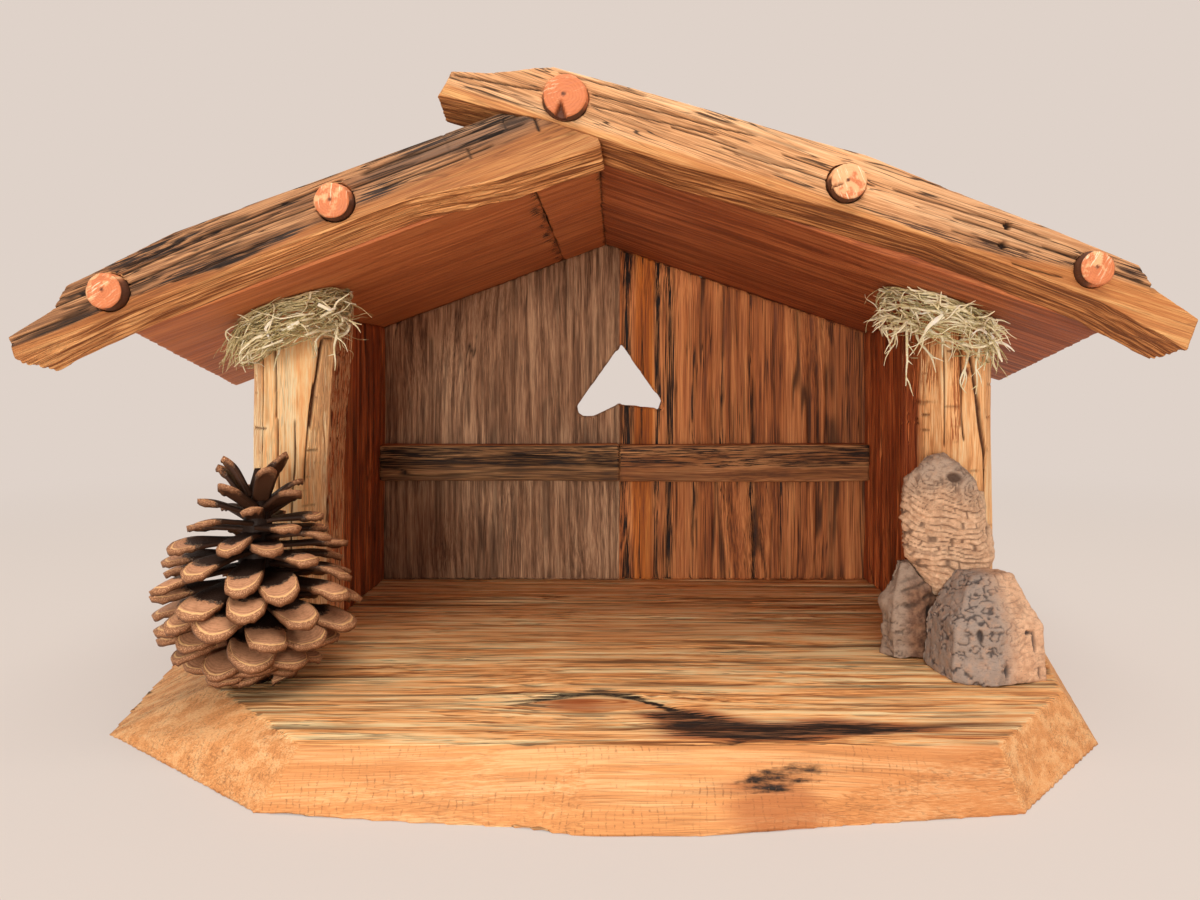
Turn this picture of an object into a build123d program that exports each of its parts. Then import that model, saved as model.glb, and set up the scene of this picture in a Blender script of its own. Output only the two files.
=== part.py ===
from build123d import *
import math
import os

# Wooden stable of reclaimed boards. Millimetres and degrees.
# X runs to the right, Y to the back, Z up; the origin is under the middle of the base board.

# Base board
base_width = 360.0
base_depth = 205.8
base_thickness = 15.3
front_left = 86.2
front_right = 98.3
front_bow = 10.6
front_belly = 12.5
front_shoulder = 60.0
tip_left = 149.2
tip_left_setback = 58.2
tip_right = 138.5
tip_right_setback = 51.1
front_bevel = 14.1
front_bevel_left = 9.5
front_bevel_right = 4.5
corner_bevel_left = 31.3
corner_bevel_right = 10.1
side_bevel = 2.0

# Roof
ridge_x = -4.0
ridge_height = 166.5
left_pitch = 20.5
right_pitch = 18.8
roof_thickness = 14.5
roof_lap = 24.0
ridge_strip_width = 20.3
eave_left = 134.6
eave_right = 136.9
eave_flare = 14.3
roof_rear_overhang = 2.0

# Barge boards
barge_setback = 29.2
barge_thickness = 16.0
barge_undercut = 2.4
left_barge_reach = 163.0
left_barge_rise = 16.6
right_barge_reach = 163.2
right_barge_rise = 17.6
right_barge_lap = 44.0
barge_lift = 2.4
barge_tip_height = 6.5
barge_step_length = 19.4
barge_step_run = 6.2
barge_step_depth = 4.6
barge_fall = 3.0

# Wavy stretches of the barge boards: distance down the slope, height above the soffit
left_barge_sag = [(0.0, -1.0), (27.0, 0.0), (54.0, 3.6)]
left_barge_rounding = 36.0
left_barge_crest = 50.0
right_barge_sag = [(-13.0, 0.9), (22.0, 1.1)]
right_barge_hump = (71.0, 2.0)
right_barge_rounding = 26.0
right_barge_crest = (96.0, 1.6)
right_barge_shoulder = [(0.0, -1.8), (-18.0, -3.0)]
right_barge_nose = [(11.0, -10.0), (1.5, -12.7)]
barge_foot_drop = 1.8

# Pegs: distance down the slope from the ridge, height above the soffit, radius
peg_proud = 3.0
peg_clearance = 0.15
peg_tenon_radius = 2.4
peg_tenon_depth = 14.0
left_pegs = {"peg_left_eave": (133.5, 8.0, 4.9), "peg_left_mid": (70.3, 9.3, 4.9)}
right_pegs = {
    "peg_ridge": (-12.0, 7.7, 5.9),
    "peg_right_mid": (64.5, 10.4, 4.9),
    "peg_right_eave": (132.4, 9.8, 4.7),
}

# Posts
post_setback = 91.2
post_depth = 28.0
post_round = 9.0
post_hewn = 0.2
left_post_outer = 124.0
left_post_foot = 25.7
left_post_head = 32.0
left_post_waist_height = 74.0
right_post_inner = 104.3
right_post_width = 24.9

# Walls
wall_thickness = 8.0
left_wall_x = 103.6
right_wall_x = 112.0
left_wall_joint = 35.5
right_wall_joint = 22.0
back_thickness = 7.0
back_setback = 4.6
back_joint_x = 1.8
rail_height = 60.7
rail_width = 16.0
rail_thickness = 10.0

# Window in the back wall
window_x = 2.7
window_sill = 89.0
window_height = 32.5
window_half_width = 21.4
window_foot = 2.6
window_chip = 5.6

# Screws and brads
screw_length = 34.0
screw_radius = 1.5
screw_head_radius = 3.4
screw_head_height = 2.2
screw_recess = 0.6
screw_clearance = 0.1
back_screw_x = 60.0
brad_length = 26.0
brad_width = 1.6
brad_head_width = 3.2
brad_head_height = 0.8
brad_clearance = 0.1
back_brad_slopes = (45.0, 85.0)

# Lichen tufts
moss_gap = 0.3
moss_height = 24.0
moss_left_x = -105.0
moss_right_x = 105.0
moss_half_width = 20.0
moss_half_depth = 19.0
moss_wrap = 14.0
moss_sides = 14

# Pine cone
cone_x = -106.0
cone_post_gap = 2.0
cone_height = 72.0
cone_radius = 29.0
cone_core_radius = 8.5
cone_core_sides = 8
cone_scale_count = 80
cone_scale_width = 13.0
cone_scale_thickness = 2.2
cone_scale_root = 5.0
cone_foot = 3.0
cone_tip = 14.0
cone_open_low = 6.0
cone_open_high = 68.0
cone_spiral_angle = 137.508

# Driftwood at the right post
drift_gap = 0.3
knot_x = 107.3
knot_height = 57.0
knot_half_width = 14.0
knot_half_height = 24.5
knot_thickness = 8.6
knot_lean = 8.0
knot_sides = 16
slab_x = 112.0
slab_width = 22.0
slab_low = 40.0
slab_height = 28.0
slab_thickness = 3.0
bark_x = 97.5
bark_width = 20.0
bark_height = 31.0
bark_lean = 1.0
rock_x = 112.5
rock_width = 31.0
rock_height = 29.0
rock_depth = 25.0
rock_lean = 3.0

# Places that follow from the sizes
front_y = -base_depth / 2
rear_y = base_depth / 2
deck_z = base_thickness
barge_front = front_y + barge_setback
roof_front = barge_front + barge_thickness
back_outer = rear_y - back_setback
back_inner = back_outer - back_thickness
roof_rear = back_outer + roof_rear_overhang
post_front = front_y + post_setback
post_rear = post_front + post_depth
wall_outer_left = -left_wall_x - wall_thickness
wall_outer_right = right_wall_x + wall_thickness
far = base_width


def pitch(side):
    return math.radians(left_pitch if side < 0 else right_pitch)


def on_slope(side, along, above, y):
    # Point by its distance down the slope from the ridge and its height square to the soffit.
    x = ridge_x + side * (along * math.cos(pitch(side)) + above * math.sin(pitch(side)))
    z = ridge_height - along * math.sin(pitch(side)) + above * math.cos(pitch(side))
    return (x, y, z)


def slope_axis(side, along, above, y):
    # Plane at a point of the slope whose normal stands square to the soffit.
    normal = (side * math.sin(pitch(side)), 0, math.cos(pitch(side)))
    return Plane(origin=on_slope(side, along, above, y), x_dir=(0, 1, 0), z_dir=normal)


def along_slope(side, x):
    return side * (x - ridge_x) / math.cos(pitch(side))


def outline(points):
    return make_face(Polyline(*points, close=True))


def prism_back(points, y_front, y_rear):
    # Outline in X and Z, carried from y_front to y_rear.
    face = outline([(x, y_front, z) for x, z in points])
    return extrude(face, amount=y_rear - y_front, dir=(0, 1, 0))


def slope_prism(side, points, y_front, y_rear):
    face = outline([on_slope(side, s, t, y_front) for s, t in points])
    return extrude(face, amount=y_rear - y_front, dir=(0, 1, 0))


def stacked(rings):
    # Closed solid with flat facets through rings of equally many points.
    faces = [outline(rings[0]).face(), outline(rings[-1]).face()]
    for low, high in zip(rings, rings[1:]):
        for i in range(len(low)):
            j = i - 1
            faces.append(outline([low[j], low[i], high[i]]).face())
            faces.append(outline([low[j], high[i], high[j]]).face())
    return Solid(Shell(faces)).clean()


def oval(half_width, half_depth, sides):
    # Corners of an oval, evenly spaced round its middle.
    angles = [2 * math.pi * (i + 0.5) / sides for i in range(sides)]
    return [(half_width * math.cos(a), half_depth * math.sin(a)) for a in angles]


def block(x0, x1, y0, y1, z0, z1):
    return prism_back([(x0, z0), (x1, z0), (x1, z1), (x0, z1)], y0, y1)


def roof_space(gap):
    # All that lies above the soffit planes, lowered by the gap.
    points = [(far, -gap), (0, -gap), (0, far), (far, far)]
    left = slope_prism(-1, points, -far, far)
    right = slope_prism(1, points, -far, far)
    return left + right + block(ridge_x - far, ridge_x + far, -far, far, ridge_height, 2 * far)


def above_right_soffit():
    return slope_prism(1, [(-far, 0), (far, 0), (far, far), (-far, far)], -far, far)


def screw_places():
    x_left_post = -left_post_outer + left_post_foot / 2
    x_right_post = right_post_inner + right_post_width / 2
    y_post = (post_front + post_rear) / 2
    y_back = (back_inner + back_outer) / 2
    return [
        (x_left_post, y_post),
        (x_right_post, y_post),
        (-back_screw_x, y_back),
        (back_screw_x, y_back),
    ]


def screw(x, y, grow):
    # Countersunk screw pointing up, its head sunk under the base board.
    low = (Align.CENTER, Align.CENTER, Align.MIN)
    head = Cone(screw_head_radius + grow, screw_radius + grow, screw_head_height, align=low)
    shank = Cylinder(screw_radius + grow, screw_length + grow - screw_head_height, align=low)
    body = Pos(x, y, screw_recess) * head + Pos(x, y, screw_recess + screw_head_height) * shank
    if grow:
        body += Pos(x, y, 0) * Cylinder(screw_head_radius + grow, screw_recess, align=low)
    return body


def screws(grow):
    return [screw(x, y, grow) for x, y in screw_places()]


def brad_places():
    y_post = (post_front + post_rear) / 2
    y_back = (back_inner + back_outer) / 2
    x_left_post = -left_post_outer + left_post_foot / 2
    x_right_post = right_post_inner + right_post_width / 2
    places = [(-1, along_slope(-1, x_left_post), y_post), (1, along_slope(1, x_right_post), y_post)]
    for side in (-1, 1):
        places += [(side, along, y_back) for along in back_brad_slopes]
    return places


def brad(side, along, y, grow):
    # Flat-wire brad driven square to the slope, its head lying on top of the roof board.
    top = slope_axis(side, along, roof_thickness, y)
    up = (Align.CENTER, Align.CENTER, Align.MIN)
    down = (Align.CENTER, Align.CENTER, Align.MAX)
    width = brad_width + 2 * grow
    shank = Box(width, width, brad_length + grow, align=down)
    if grow:
        return top * shank
    return top * (shank + Box(brad_head_width, brad_width, brad_head_height, align=up))


def brads(grow):
    return [brad(side, along, y, grow) for side, along, y in brad_places()]


def base_board():
    # Plank with a bellied front edge, its corners and sides bevelled off.
    half = base_width / 2
    lead = front_y + front_bow
    middle = (front_right - front_left) / 2
    left_tip = (-tip_left, front_y + tip_left_setback)
    right_tip = (tip_right, front_y + tip_right_setback)
    top_y = front_y + front_bevel
    top_left = -front_left + front_bevel_left
    top_right = front_right - front_bevel_right
    bellies = [(middle - front_belly, front_y), (middle + front_belly, front_y)]
    shoulder = (-front_left + front_shoulder, lead - front_bow * 0.6)
    bottom = [(-front_left, lead), shoulder] + bellies + [(front_right, lead), right_tip]
    bottom += [(half, rear_y), (-half, rear_y), left_tip]
    top = [(top_left, top_y), (shoulder[0], top_y)] + [(x, top_y) for x, y in bellies] + [(top_right, top_y)]
    top += [(right_tip[0] - corner_bevel_right, right_tip[1]), (half - side_bevel, rear_y)]
    top += [(side_bevel - half, rear_y), (left_tip[0] + corner_bevel_left, left_tip[1])]
    plank = stacked([[(x, y, 0) for x, y in bottom], [(x, y, deck_z) for x, y in top]])
    return plank - screws(screw_clearance)


def post_section(x_left, x_right, z, grow):
    # Split log: flat at the back, hewn round in front.
    left = x_left - grow
    right = x_right + grow
    front = post_front - grow
    rear = post_rear + grow
    shoulder = front + post_round
    hewn = (right - left) * post_hewn
    cheek = front + post_round * post_hewn
    section = [(left, rear), (left, shoulder), (left + hewn, cheek), ((left + right) / 2, front)]
    section += [(right - hewn, cheek), (right, shoulder), (right, rear)]
    return [(x, y, z) for x, y in section]


def left_log(grow):
    # Straight on its outer side, swelling inwards above the waist.
    outer = -left_post_outer
    foot = outer + left_post_foot
    head = outer + left_post_head
    sections = [
        post_section(outer, foot, deck_z, grow),
        post_section(outer, foot, left_post_waist_height, grow),
        post_section(outer, head, ridge_height, grow),
    ]
    return stacked(sections)


def right_log(grow):
    inner = right_post_inner
    outer = inner + right_post_width
    return stacked([post_section(inner, outer, z, grow) for z in (deck_z, ridge_height)])


def fastened(solid):
    return solid - screws(screw_clearance) - brads(brad_clearance)


def side_wall(inner, outer, y0, y1):
    return block(inner, outer, y0, y1, deck_z, ridge_height) - roof_space(0)


def window():
    # Rough gable-shaped opening with a chipped sill.
    w = window_half_width
    top = window_sill + window_height
    points = [(window_x, top), (window_x - w, window_sill + window_foot), (window_x - 0.8 * w, window_sill)]
    points += [(window_x - 0.57 * w, window_sill), (window_x - 0.04 * w, window_sill + window_chip)]
    points += [(window_x + w, window_sill + window_foot)]
    return prism_back(points, back_inner - rail_thickness, rear_y)


def back_board(x0, x1):
    board = block(x0, x1, back_inner, back_outer, deck_z, far) - roof_space(0)
    return fastened(board - window())


def back_rail(x0, x1):
    return block(x0, x1, back_inner - rail_thickness, back_inner, rail_height, rail_height + rail_width)


def roof_plan():
    # Plan of the roof: its eaves flare outwards to the back.
    spread = (roof_rear - roof_front) * math.tan(math.radians(eave_flare))
    points = [
        (-eave_left, roof_front),
        (eave_right, roof_front),
        (eave_right + spread, roof_rear),
        (-eave_left - spread, roof_rear),
    ]
    return extrude(outline([(x, y, 0) for x, y in points]), amount=far, dir=(0, 0, 1))


def roof_board(side, start):
    points = [(start, 0), (far, 0), (far, roof_thickness), (start, roof_thickness)]
    board = slope_prism(side, points, roof_front, roof_rear) & roof_plan()
    if side < 0:
        board -= above_right_soffit()
    return board - brads(brad_clearance) - pegs(side, peg_clearance)


def ridge_strip():
    points = [(-far, 0), (ridge_strip_width, 0), (ridge_strip_width, roof_thickness), (-far, roof_thickness)]
    return slope_prism(-1, points, roof_front, roof_rear) - above_right_soffit()


def barge(side, lower, upper):
    # Lower edge sawn at a slant, so that its rear arris lies deeper than the front one.
    front = [on_slope(side, s, t, barge_front) for s, t in lower + upper]
    rear = [on_slope(side, s, t - barge_undercut, roof_front) for s, t in lower]
    rear += [on_slope(side, s, t, roof_front) for s, t in upper]
    return loft([outline(front), outline(rear)], ruled=True)


def eave_end(reach, rise):
    # Weathered end of a barge board, stepped down from its top edge.
    return [
        (reach, barge_tip_height),
        (reach - barge_step_length + barge_step_run, rise - barge_fall - barge_step_depth),
        (reach - barge_step_length, rise - barge_fall),
    ]


def left_barge():
    reach = left_barge_reach
    rise = left_barge_rise
    lower = left_barge_sag + [(reach - left_barge_rounding, barge_lift), (reach, 0)]
    upper = eave_end(reach, rise) + [(reach - left_barge_crest, rise), (0, rise)]
    return barge(-1, lower, upper) - right_barge() - pegs(-1, peg_clearance)


def right_barge():
    reach = right_barge_reach
    rise = right_barge_rise
    lap = right_barge_lap
    hump, lift = right_barge_hump
    crest, swell = right_barge_crest
    lower = [(-lap, -barge_undercut)] + right_barge_sag + [(reach - hump, barge_lift + lift)]
    lower += [(reach - right_barge_rounding, barge_lift), (reach, -barge_foot_drop)]
    upper = eave_end(reach, rise) + [(reach - crest, rise + swell)]
    upper += [(along, rise + fall) for along, fall in right_barge_shoulder]
    upper += [(along - lap, rise + fall) for along, fall in right_barge_nose]
    return barge(1, lower, upper)


def peg(side, along, above, radius, grow):
    # Head through the barge board, turned-down tenon into the edge of the roof board.
    x, y, z = on_slope(side, along, above, barge_front - peg_proud)
    head = Plane(origin=(x, y, z), z_dir=(0, 1, 0))
    low = (Align.CENTER, Align.CENTER, Align.MIN)
    length = peg_proud + barge_thickness
    tenon = Pos(0, 0, length) * Cylinder(peg_tenon_radius + grow, peg_tenon_depth + grow, align=low)
    return head * (Cylinder(radius + grow, length, align=low) + tenon)


def pegs(side, grow):
    table = left_pegs if side < 0 else right_pegs
    return [peg(side, along, above, radius, grow) for along, above, radius in table.values()]


def tuft(x, side, post, beside):
    # Pad of lichen round the front of a post head, filling the corner under the roof.
    soffit = on_slope(side, along_slope(side, x), 0, 0)[2]
    y = post_front + moss_wrap - moss_half_depth
    levels = [(-1.0, 0.6), (-0.7, 0.9), (-0.35, 1.0), (0.5, 0.7)]
    rings = []
    for level, k in levels:
        pad = oval(moss_half_width * k, moss_half_depth * k, moss_sides)
        rings.append([(x + px, y + py, soffit + level * moss_height) for px, py in pad])
    behind = block(-far, far, post_front + moss_wrap, far, 0, far)
    return stacked(rings) - post - roof_space(moss_gap) - behind - beside


def cone_envelope(h):
    # Reach of the scales that grow at a share h of the core's height.
    return cone_radius * math.sin(math.pi * (0.28 + 0.67 * h))


def cone_scale(index):
    # One woody scale on the spiral, rising more steeply towards the tip of the cone.
    h = (index + 0.5) / cone_scale_count
    lift = math.radians(cone_open_low + (cone_open_high - cone_open_low) * h ** 1.4)
    root = cone_core_radius * 0.4 * (1.0 - 0.8 * h)
    length = (cone_envelope(h) - root) / math.cos(lift)
    half = cone_scale_width * (1.0 - 0.55 * h) / 2
    plan = [
        (0, -cone_scale_root * 0.3), (0.5 * length, -0.7 * half), (0.82 * length, -half),
        (length, -0.35 * half), (length, 0.35 * half), (0.82 * length, half), (0.5 * length, 0.7 * half),
        (0, cone_scale_root * 0.3),
    ]
    plate = extrude(outline([(x, y, 0) for x, y in plan]), amount=cone_scale_thickness)
    z = cone_foot + (cone_height - cone_foot - cone_tip) * h
    turn = Rot(0, 0, cone_spiral_angle * index)
    return turn * Pos(root, 0, z) * Rot(0, -math.degrees(lift), 0) * plate


def pine_cone():
    top = cone_height - cone_tip / 2
    levels = [(0, 1.0), (0.35, 0.95), (0.7, 0.6), (1.0, 0.2)]
    rings = []
    for level, k in levels:
        girth = oval(cone_core_radius * k, cone_core_radius * k, cone_core_sides)
        rings.append([(x, y, level * top) for x, y in girth])
    cone = stacked(rings) + [cone_scale(i) for i in range(cone_scale_count)]
    under = block(-far, far, -far, far, -far, 0)
    return Pos(cone_x, post_front - cone_radius - cone_post_gap, deck_z) * (cone - under)


def knot(grow):
    # Oval knot of driftwood leaning on the post, domed to the front.
    rear = post_front - slab_thickness - 2 * drift_gap
    lean = math.radians(knot_lean)
    rings = []
    for depth, k in [(0, 0.94), (0.4, 1.0), (0.75, 0.9), (1.0, 0.6)]:
        edge = oval(knot_half_width * k + grow, knot_half_height * k + grow, knot_sides)
        turned = [(x * math.cos(lean) - z * math.sin(lean), x * math.sin(lean) + z * math.cos(lean)) for x, z in edge]
        rings.append([(knot_x + x, rear - depth * knot_thickness, knot_height + z) for x, z in turned])
    return stacked(rings)


def slab():
    y = post_front - drift_gap
    half = slab_width / 2
    points = [
        (slab_x - half, slab_low), (slab_x + half * 0.8, slab_low), (slab_x + half, slab_low + slab_height * 0.4),
        (slab_x + half * 0.85, slab_low + slab_height), (slab_x - half * 0.7, slab_low + slab_height),
    ]
    return prism_back(points, y - slab_thickness, y)


def chunk(x, y_rear, width, depth, height, lean):
    # Broken block standing on the deck, drawn in and leaning towards its crest.
    half = width / 2
    foot = [(x - half, y_rear), (x - half * 0.85, y_rear - depth * 0.8), (x - half * 0.1, y_rear - depth)]
    foot += [(x + half, y_rear - depth * 0.7), (x + half * 0.9, y_rear)]
    shrink = 0.45
    crest = [(x + lean + (px - x) * shrink, y_rear + (py - y_rear) * shrink) for px, py in foot]
    middle = [(x + lean * 0.3 + (px - x) * 0.93, y_rear + (py - y_rear) * 0.93) for px, py in foot]
    levels = ((foot, deck_z), (middle, deck_z + height * 0.55), (crest, deck_z + height))
    return stacked([[(px, py, z) for px, py in ring] for ring, z in levels])


def driftwood():
    rock_rear = post_front - slab_thickness - 3 * drift_gap - knot_thickness
    bark_rear = post_front - drift_gap - slab_thickness
    bark_depth = bark_rear - rock_rear - drift_gap
    bark = chunk(bark_x, bark_rear, bark_width, bark_depth, bark_height, -bark_lean)
    return {
        "driftwood_knot": knot(0),
        "driftwood_slab": slab(),
        "bark_chunk": bark - knot(drift_gap),
        "driftwood_rock": chunk(rock_x, rock_rear, rock_width, rock_depth, rock_height, rock_lean),
    }


def build():
    nodes = {"base_board": base_board()}
    nodes["left_post"] = fastened(left_log(0) - roof_space(0))
    nodes["right_post"] = fastened(right_log(0) - roof_space(0))
    left_split = post_rear + left_wall_joint
    right_split = post_rear + right_wall_joint
    nodes["left_wall_front"] = side_wall(wall_outer_left, -left_wall_x, post_rear, left_split)
    nodes["left_wall_rear"] = side_wall(wall_outer_left, -left_wall_x, left_split, back_inner)
    nodes["right_wall_front"] = side_wall(right_wall_x, wall_outer_right, post_rear, right_split)
    nodes["right_wall_rear"] = side_wall(right_wall_x, wall_outer_right, right_split, back_inner)
    nodes["back_board_left"] = back_board(wall_outer_left, back_joint_x)
    nodes["back_board_right"] = back_board(back_joint_x, wall_outer_right)
    nodes["back_rail_left"] = back_rail(-left_wall_x, back_joint_x)
    nodes["back_rail_right"] = back_rail(back_joint_x, right_wall_x)
    nodes["roof_board_left"] = roof_board(-1, ridge_strip_width)
    nodes["roof_ridge_strip"] = ridge_strip()
    nodes["roof_board_right"] = roof_board(1, -roof_lap)
    nodes["barge_board_left"] = left_barge()
    nodes["barge_board_right"] = right_barge() - pegs(1, peg_clearance)
    for side, table in ((-1, left_pegs), (1, right_pegs)):
        for name, (along, above, radius) in table.items():
            nodes[name] = peg(side, along, above, radius, 0)
    nodes["pine_cone"] = pine_cone()
    nodes["moss_left"] = tuft(moss_left_x, -1, left_log(moss_gap), nodes["pine_cone"])
    nodes["moss_right"] = tuft(moss_right_x, 1, right_log(moss_gap), knot(moss_gap))
    nodes.update(driftwood())
    nodes["base_screws"] = Compound(children=screws(0))
    nodes["roof_brads"] = Compound(children=brads(0))
    return nodes


os.makedirs("parts", exist_ok=True)
for node, shape in build().items():
    export_step(shape, f"parts/{node}.step")
    print(node, round(shape.volume))
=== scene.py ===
import math
import random

import bmesh
import bpy
import numpy as np
from mathutils import Matrix, Vector


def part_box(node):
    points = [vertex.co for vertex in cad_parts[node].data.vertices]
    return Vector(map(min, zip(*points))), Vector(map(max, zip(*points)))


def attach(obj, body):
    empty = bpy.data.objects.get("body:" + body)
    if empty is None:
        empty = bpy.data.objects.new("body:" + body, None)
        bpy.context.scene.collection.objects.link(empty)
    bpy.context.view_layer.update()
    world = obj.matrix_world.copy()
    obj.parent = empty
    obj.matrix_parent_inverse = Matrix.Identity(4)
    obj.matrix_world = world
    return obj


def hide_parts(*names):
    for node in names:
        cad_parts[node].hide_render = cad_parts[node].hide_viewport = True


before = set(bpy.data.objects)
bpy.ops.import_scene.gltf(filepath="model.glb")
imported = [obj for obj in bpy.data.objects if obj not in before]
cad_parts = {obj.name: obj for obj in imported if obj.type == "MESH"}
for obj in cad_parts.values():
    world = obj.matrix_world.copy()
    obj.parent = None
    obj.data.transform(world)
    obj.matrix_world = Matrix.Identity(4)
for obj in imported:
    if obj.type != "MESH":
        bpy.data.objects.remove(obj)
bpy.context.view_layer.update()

mm = 0.001
print("frame loaded with", len(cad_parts), "pieces")


# Small tools for nodes and colours

def tone(red, green, blue):
    shares = [value / 255 for value in (red, green, blue)]
    linear = [s / 12.92 if s < 0.04045 else ((s + 0.055) / 1.055) ** 2.4 for s in shares]
    return (*linear, 1.0)


def wire(tree, kind, inputs=None, **settings):
    node = tree.nodes.new(kind)
    for name, value in settings.items():
        setattr(node, name, value)
    for socket, value in (inputs or {}).items():
        if isinstance(value, bpy.types.NodeSocket):
            tree.links.new(value, node.inputs[socket])
        else:
            node.inputs[socket].default_value = value
    return node


def reckon(tree, operation, first, second=0.0):
    return wire(tree, "ShaderNodeMath", {0: first, 1: second}, operation=operation).outputs[0]


def plus(tree, first, second):
    return reckon(tree, "ADD", first, second)


def minus(tree, first, second):
    return reckon(tree, "SUBTRACT", first, second)


def times(tree, first, second):
    return reckon(tree, "MULTIPLY", first, second)


def larger(tree, first, second):
    return reckon(tree, "MAXIMUM", first, second)


def awayFrom(tree, value, middle):
    return reckon(tree, "ABSOLUTE", minus(tree, value, middle))


def spread(tree, value, low, high, toLow=0.0, toHigh=1.0):
    limits = {"Value": value, "From Min": low, "From Max": high, "To Min": toLow, "To Max": toHigh}
    return wire(tree, "ShaderNodeMapRange", limits, interpolation_type="SMOOTHSTEP").outputs[0]


def scaled(tree, vector, factors):
    return wire(tree, "ShaderNodeVectorMath", {0: vector, 1: factors}, operation="MULTIPLY").outputs[0]


# Noise; three scales stretch it
def speckle(tree, vector, scale, detail=3.0, roughness=0.55):
    if isinstance(scale, tuple):
        vector, scale = scaled(tree, vector, scale), 1.0
    inputs = {"Vector": vector, "Scale": scale, "Detail": detail, "Roughness": roughness}
    return wire(tree, "ShaderNodeTexNoise", inputs).outputs["Fac"]


# Tones are sockets or triples from 0 to 255
def blendTones(tree, share, *tones):
    first, second = (value if isinstance(value, bpy.types.NodeSocket) else tone(*value) for value in tones)
    return wire(tree, "ShaderNodeMix", {0: share, 6: first, 7: second}, data_type="RGBA").outputs[2]


def toneRamp(tree, share, stops):
    node = wire(tree, "ShaderNodeValToRGB", {"Fac": share})
    while len(node.color_ramp.elements) < len(stops):
        node.color_ramp.elements.new(0.5)
    for element, (position, colour) in zip(node.color_ramp.elements, stops):
        element.position = position
        element.color = tone(*colour)
    return node.outputs["Color"]


def maskOf(tree, name):
    return wire(tree, "ShaderNodeAttribute", attribute_name=name).outputs["Fac"]


# Place on the piece in millimetres
def objectPlace(tree):
    return scaled(tree, wire(tree, "ShaderNodeTexCoord").outputs["Object"], (1 / mm,) * 3)


def freshMaterial(name):
    material = bpy.data.materials.new(name)
    material.use_nodes = True
    return material, material.node_tree, material.node_tree.nodes["Principled BSDF"]


def paint(tree, shader, shade, roughness):
    tree.links.new(shade, shader.inputs["Base Color"])
    tree.links.new(roughness, shader.inputs["Roughness"])


def bumped(tree, shader, height, strength, depth):
    bump = wire(tree, "ShaderNodeBump", {"Strength": strength, "Distance": depth * mm, "Height": height})
    tree.links.new(bump.outputs["Normal"], shader.inputs["Normal"])


# Wood grain shared by every board; X of the vector, in millimetres, runs along the grain

def buildGrainGroup():
    group = bpy.data.node_groups.new("woodGrain", "ShaderNodeTree")
    for name, kind in (("Vector", "NodeSocketVector"), ("Fine", "NodeSocketFloat"),
                       ("Stretch", "NodeSocketFloat"), ("Sway", "NodeSocketFloat")):
        group.interface.new_socket(name, in_out="INPUT", socket_type=kind)
    for name in ("Grain", "Fibre", "Lines", "Blotch"):
        group.interface.new_socket(name, in_out="OUTPUT", socket_type="NodeSocketFloat")
    given = group.nodes.new("NodeGroupInput").outputs
    made = group.nodes.new("NodeGroupOutput").inputs

    lean = reckon(group, "DIVIDE", given["Fine"], given["Stretch"])
    stretched = wire(group, "ShaderNodeCombineXYZ", {0: lean, 1: given["Fine"], 2: given["Fine"]}).outputs[0]
    wind = wire(group, "ShaderNodeTexNoise", {"Vector": scaled(group, given["Vector"], (0.011, 0.03, 0.03)),
                                              "Scale": 1.0, "Detail": 2.0}).outputs["Color"]
    reach = wire(group, "ShaderNodeCombineXYZ", {1: given["Sway"], 2: given["Sway"]}).outputs[0]
    moved = scaled(group, wind, reach)
    swayed = wire(group, "ShaderNodeVectorMath", {0: given["Vector"], 1: moved}, operation="ADD").outputs[0]
    lined = scaled(group, swayed, stretched)

    fibre = spread(group, speckle(group, lined, 2.3, 3.0, 0.6), 0.32, 0.68)
    bands = spread(group, speckle(group, lined, (0.45, 0.24, 0.24), 3.0), 0.32, 0.68)
    both = plus(group, times(group, bands, 0.5), times(group, fibre, 0.5))
    lineField = speckle(group, lined, 0.8, 2.0)
    off = awayFrom(group, lineField, 0.5)
    thin = spread(group, off, 0.01, 0.045, 1.0, 0.0)
    where = spread(group, speckle(group, given["Vector"], (0.03, 0.14, 0.14), 2.0), 0.4, 0.62)
    blotch = spread(group, speckle(group, given["Vector"], (0.018, 0.05, 0.05), 3.0), 0.35, 0.65)
    for name, value in (("Grain", both), ("Fibre", fibre), ("Blotch", blotch),
                        ("Lines", times(group, thin, where))):
        group.links.new(value, made[name])
    return group


grainGroup = buildGrainGroup()


# One recipe for every board, with its own tones
# Masks on the mesh: groove and crack (dark lines), stain (soot, char and dark streaks; also the darker foot
# of the base facets and the darker upper front of the rails), heart (knots), fresh (sawn faces, and painted
# highlights on the side wall ridges and the rail tops), ends (open pores) and below (undersides; on the right
# barge their tones hold painted shade)

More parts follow.
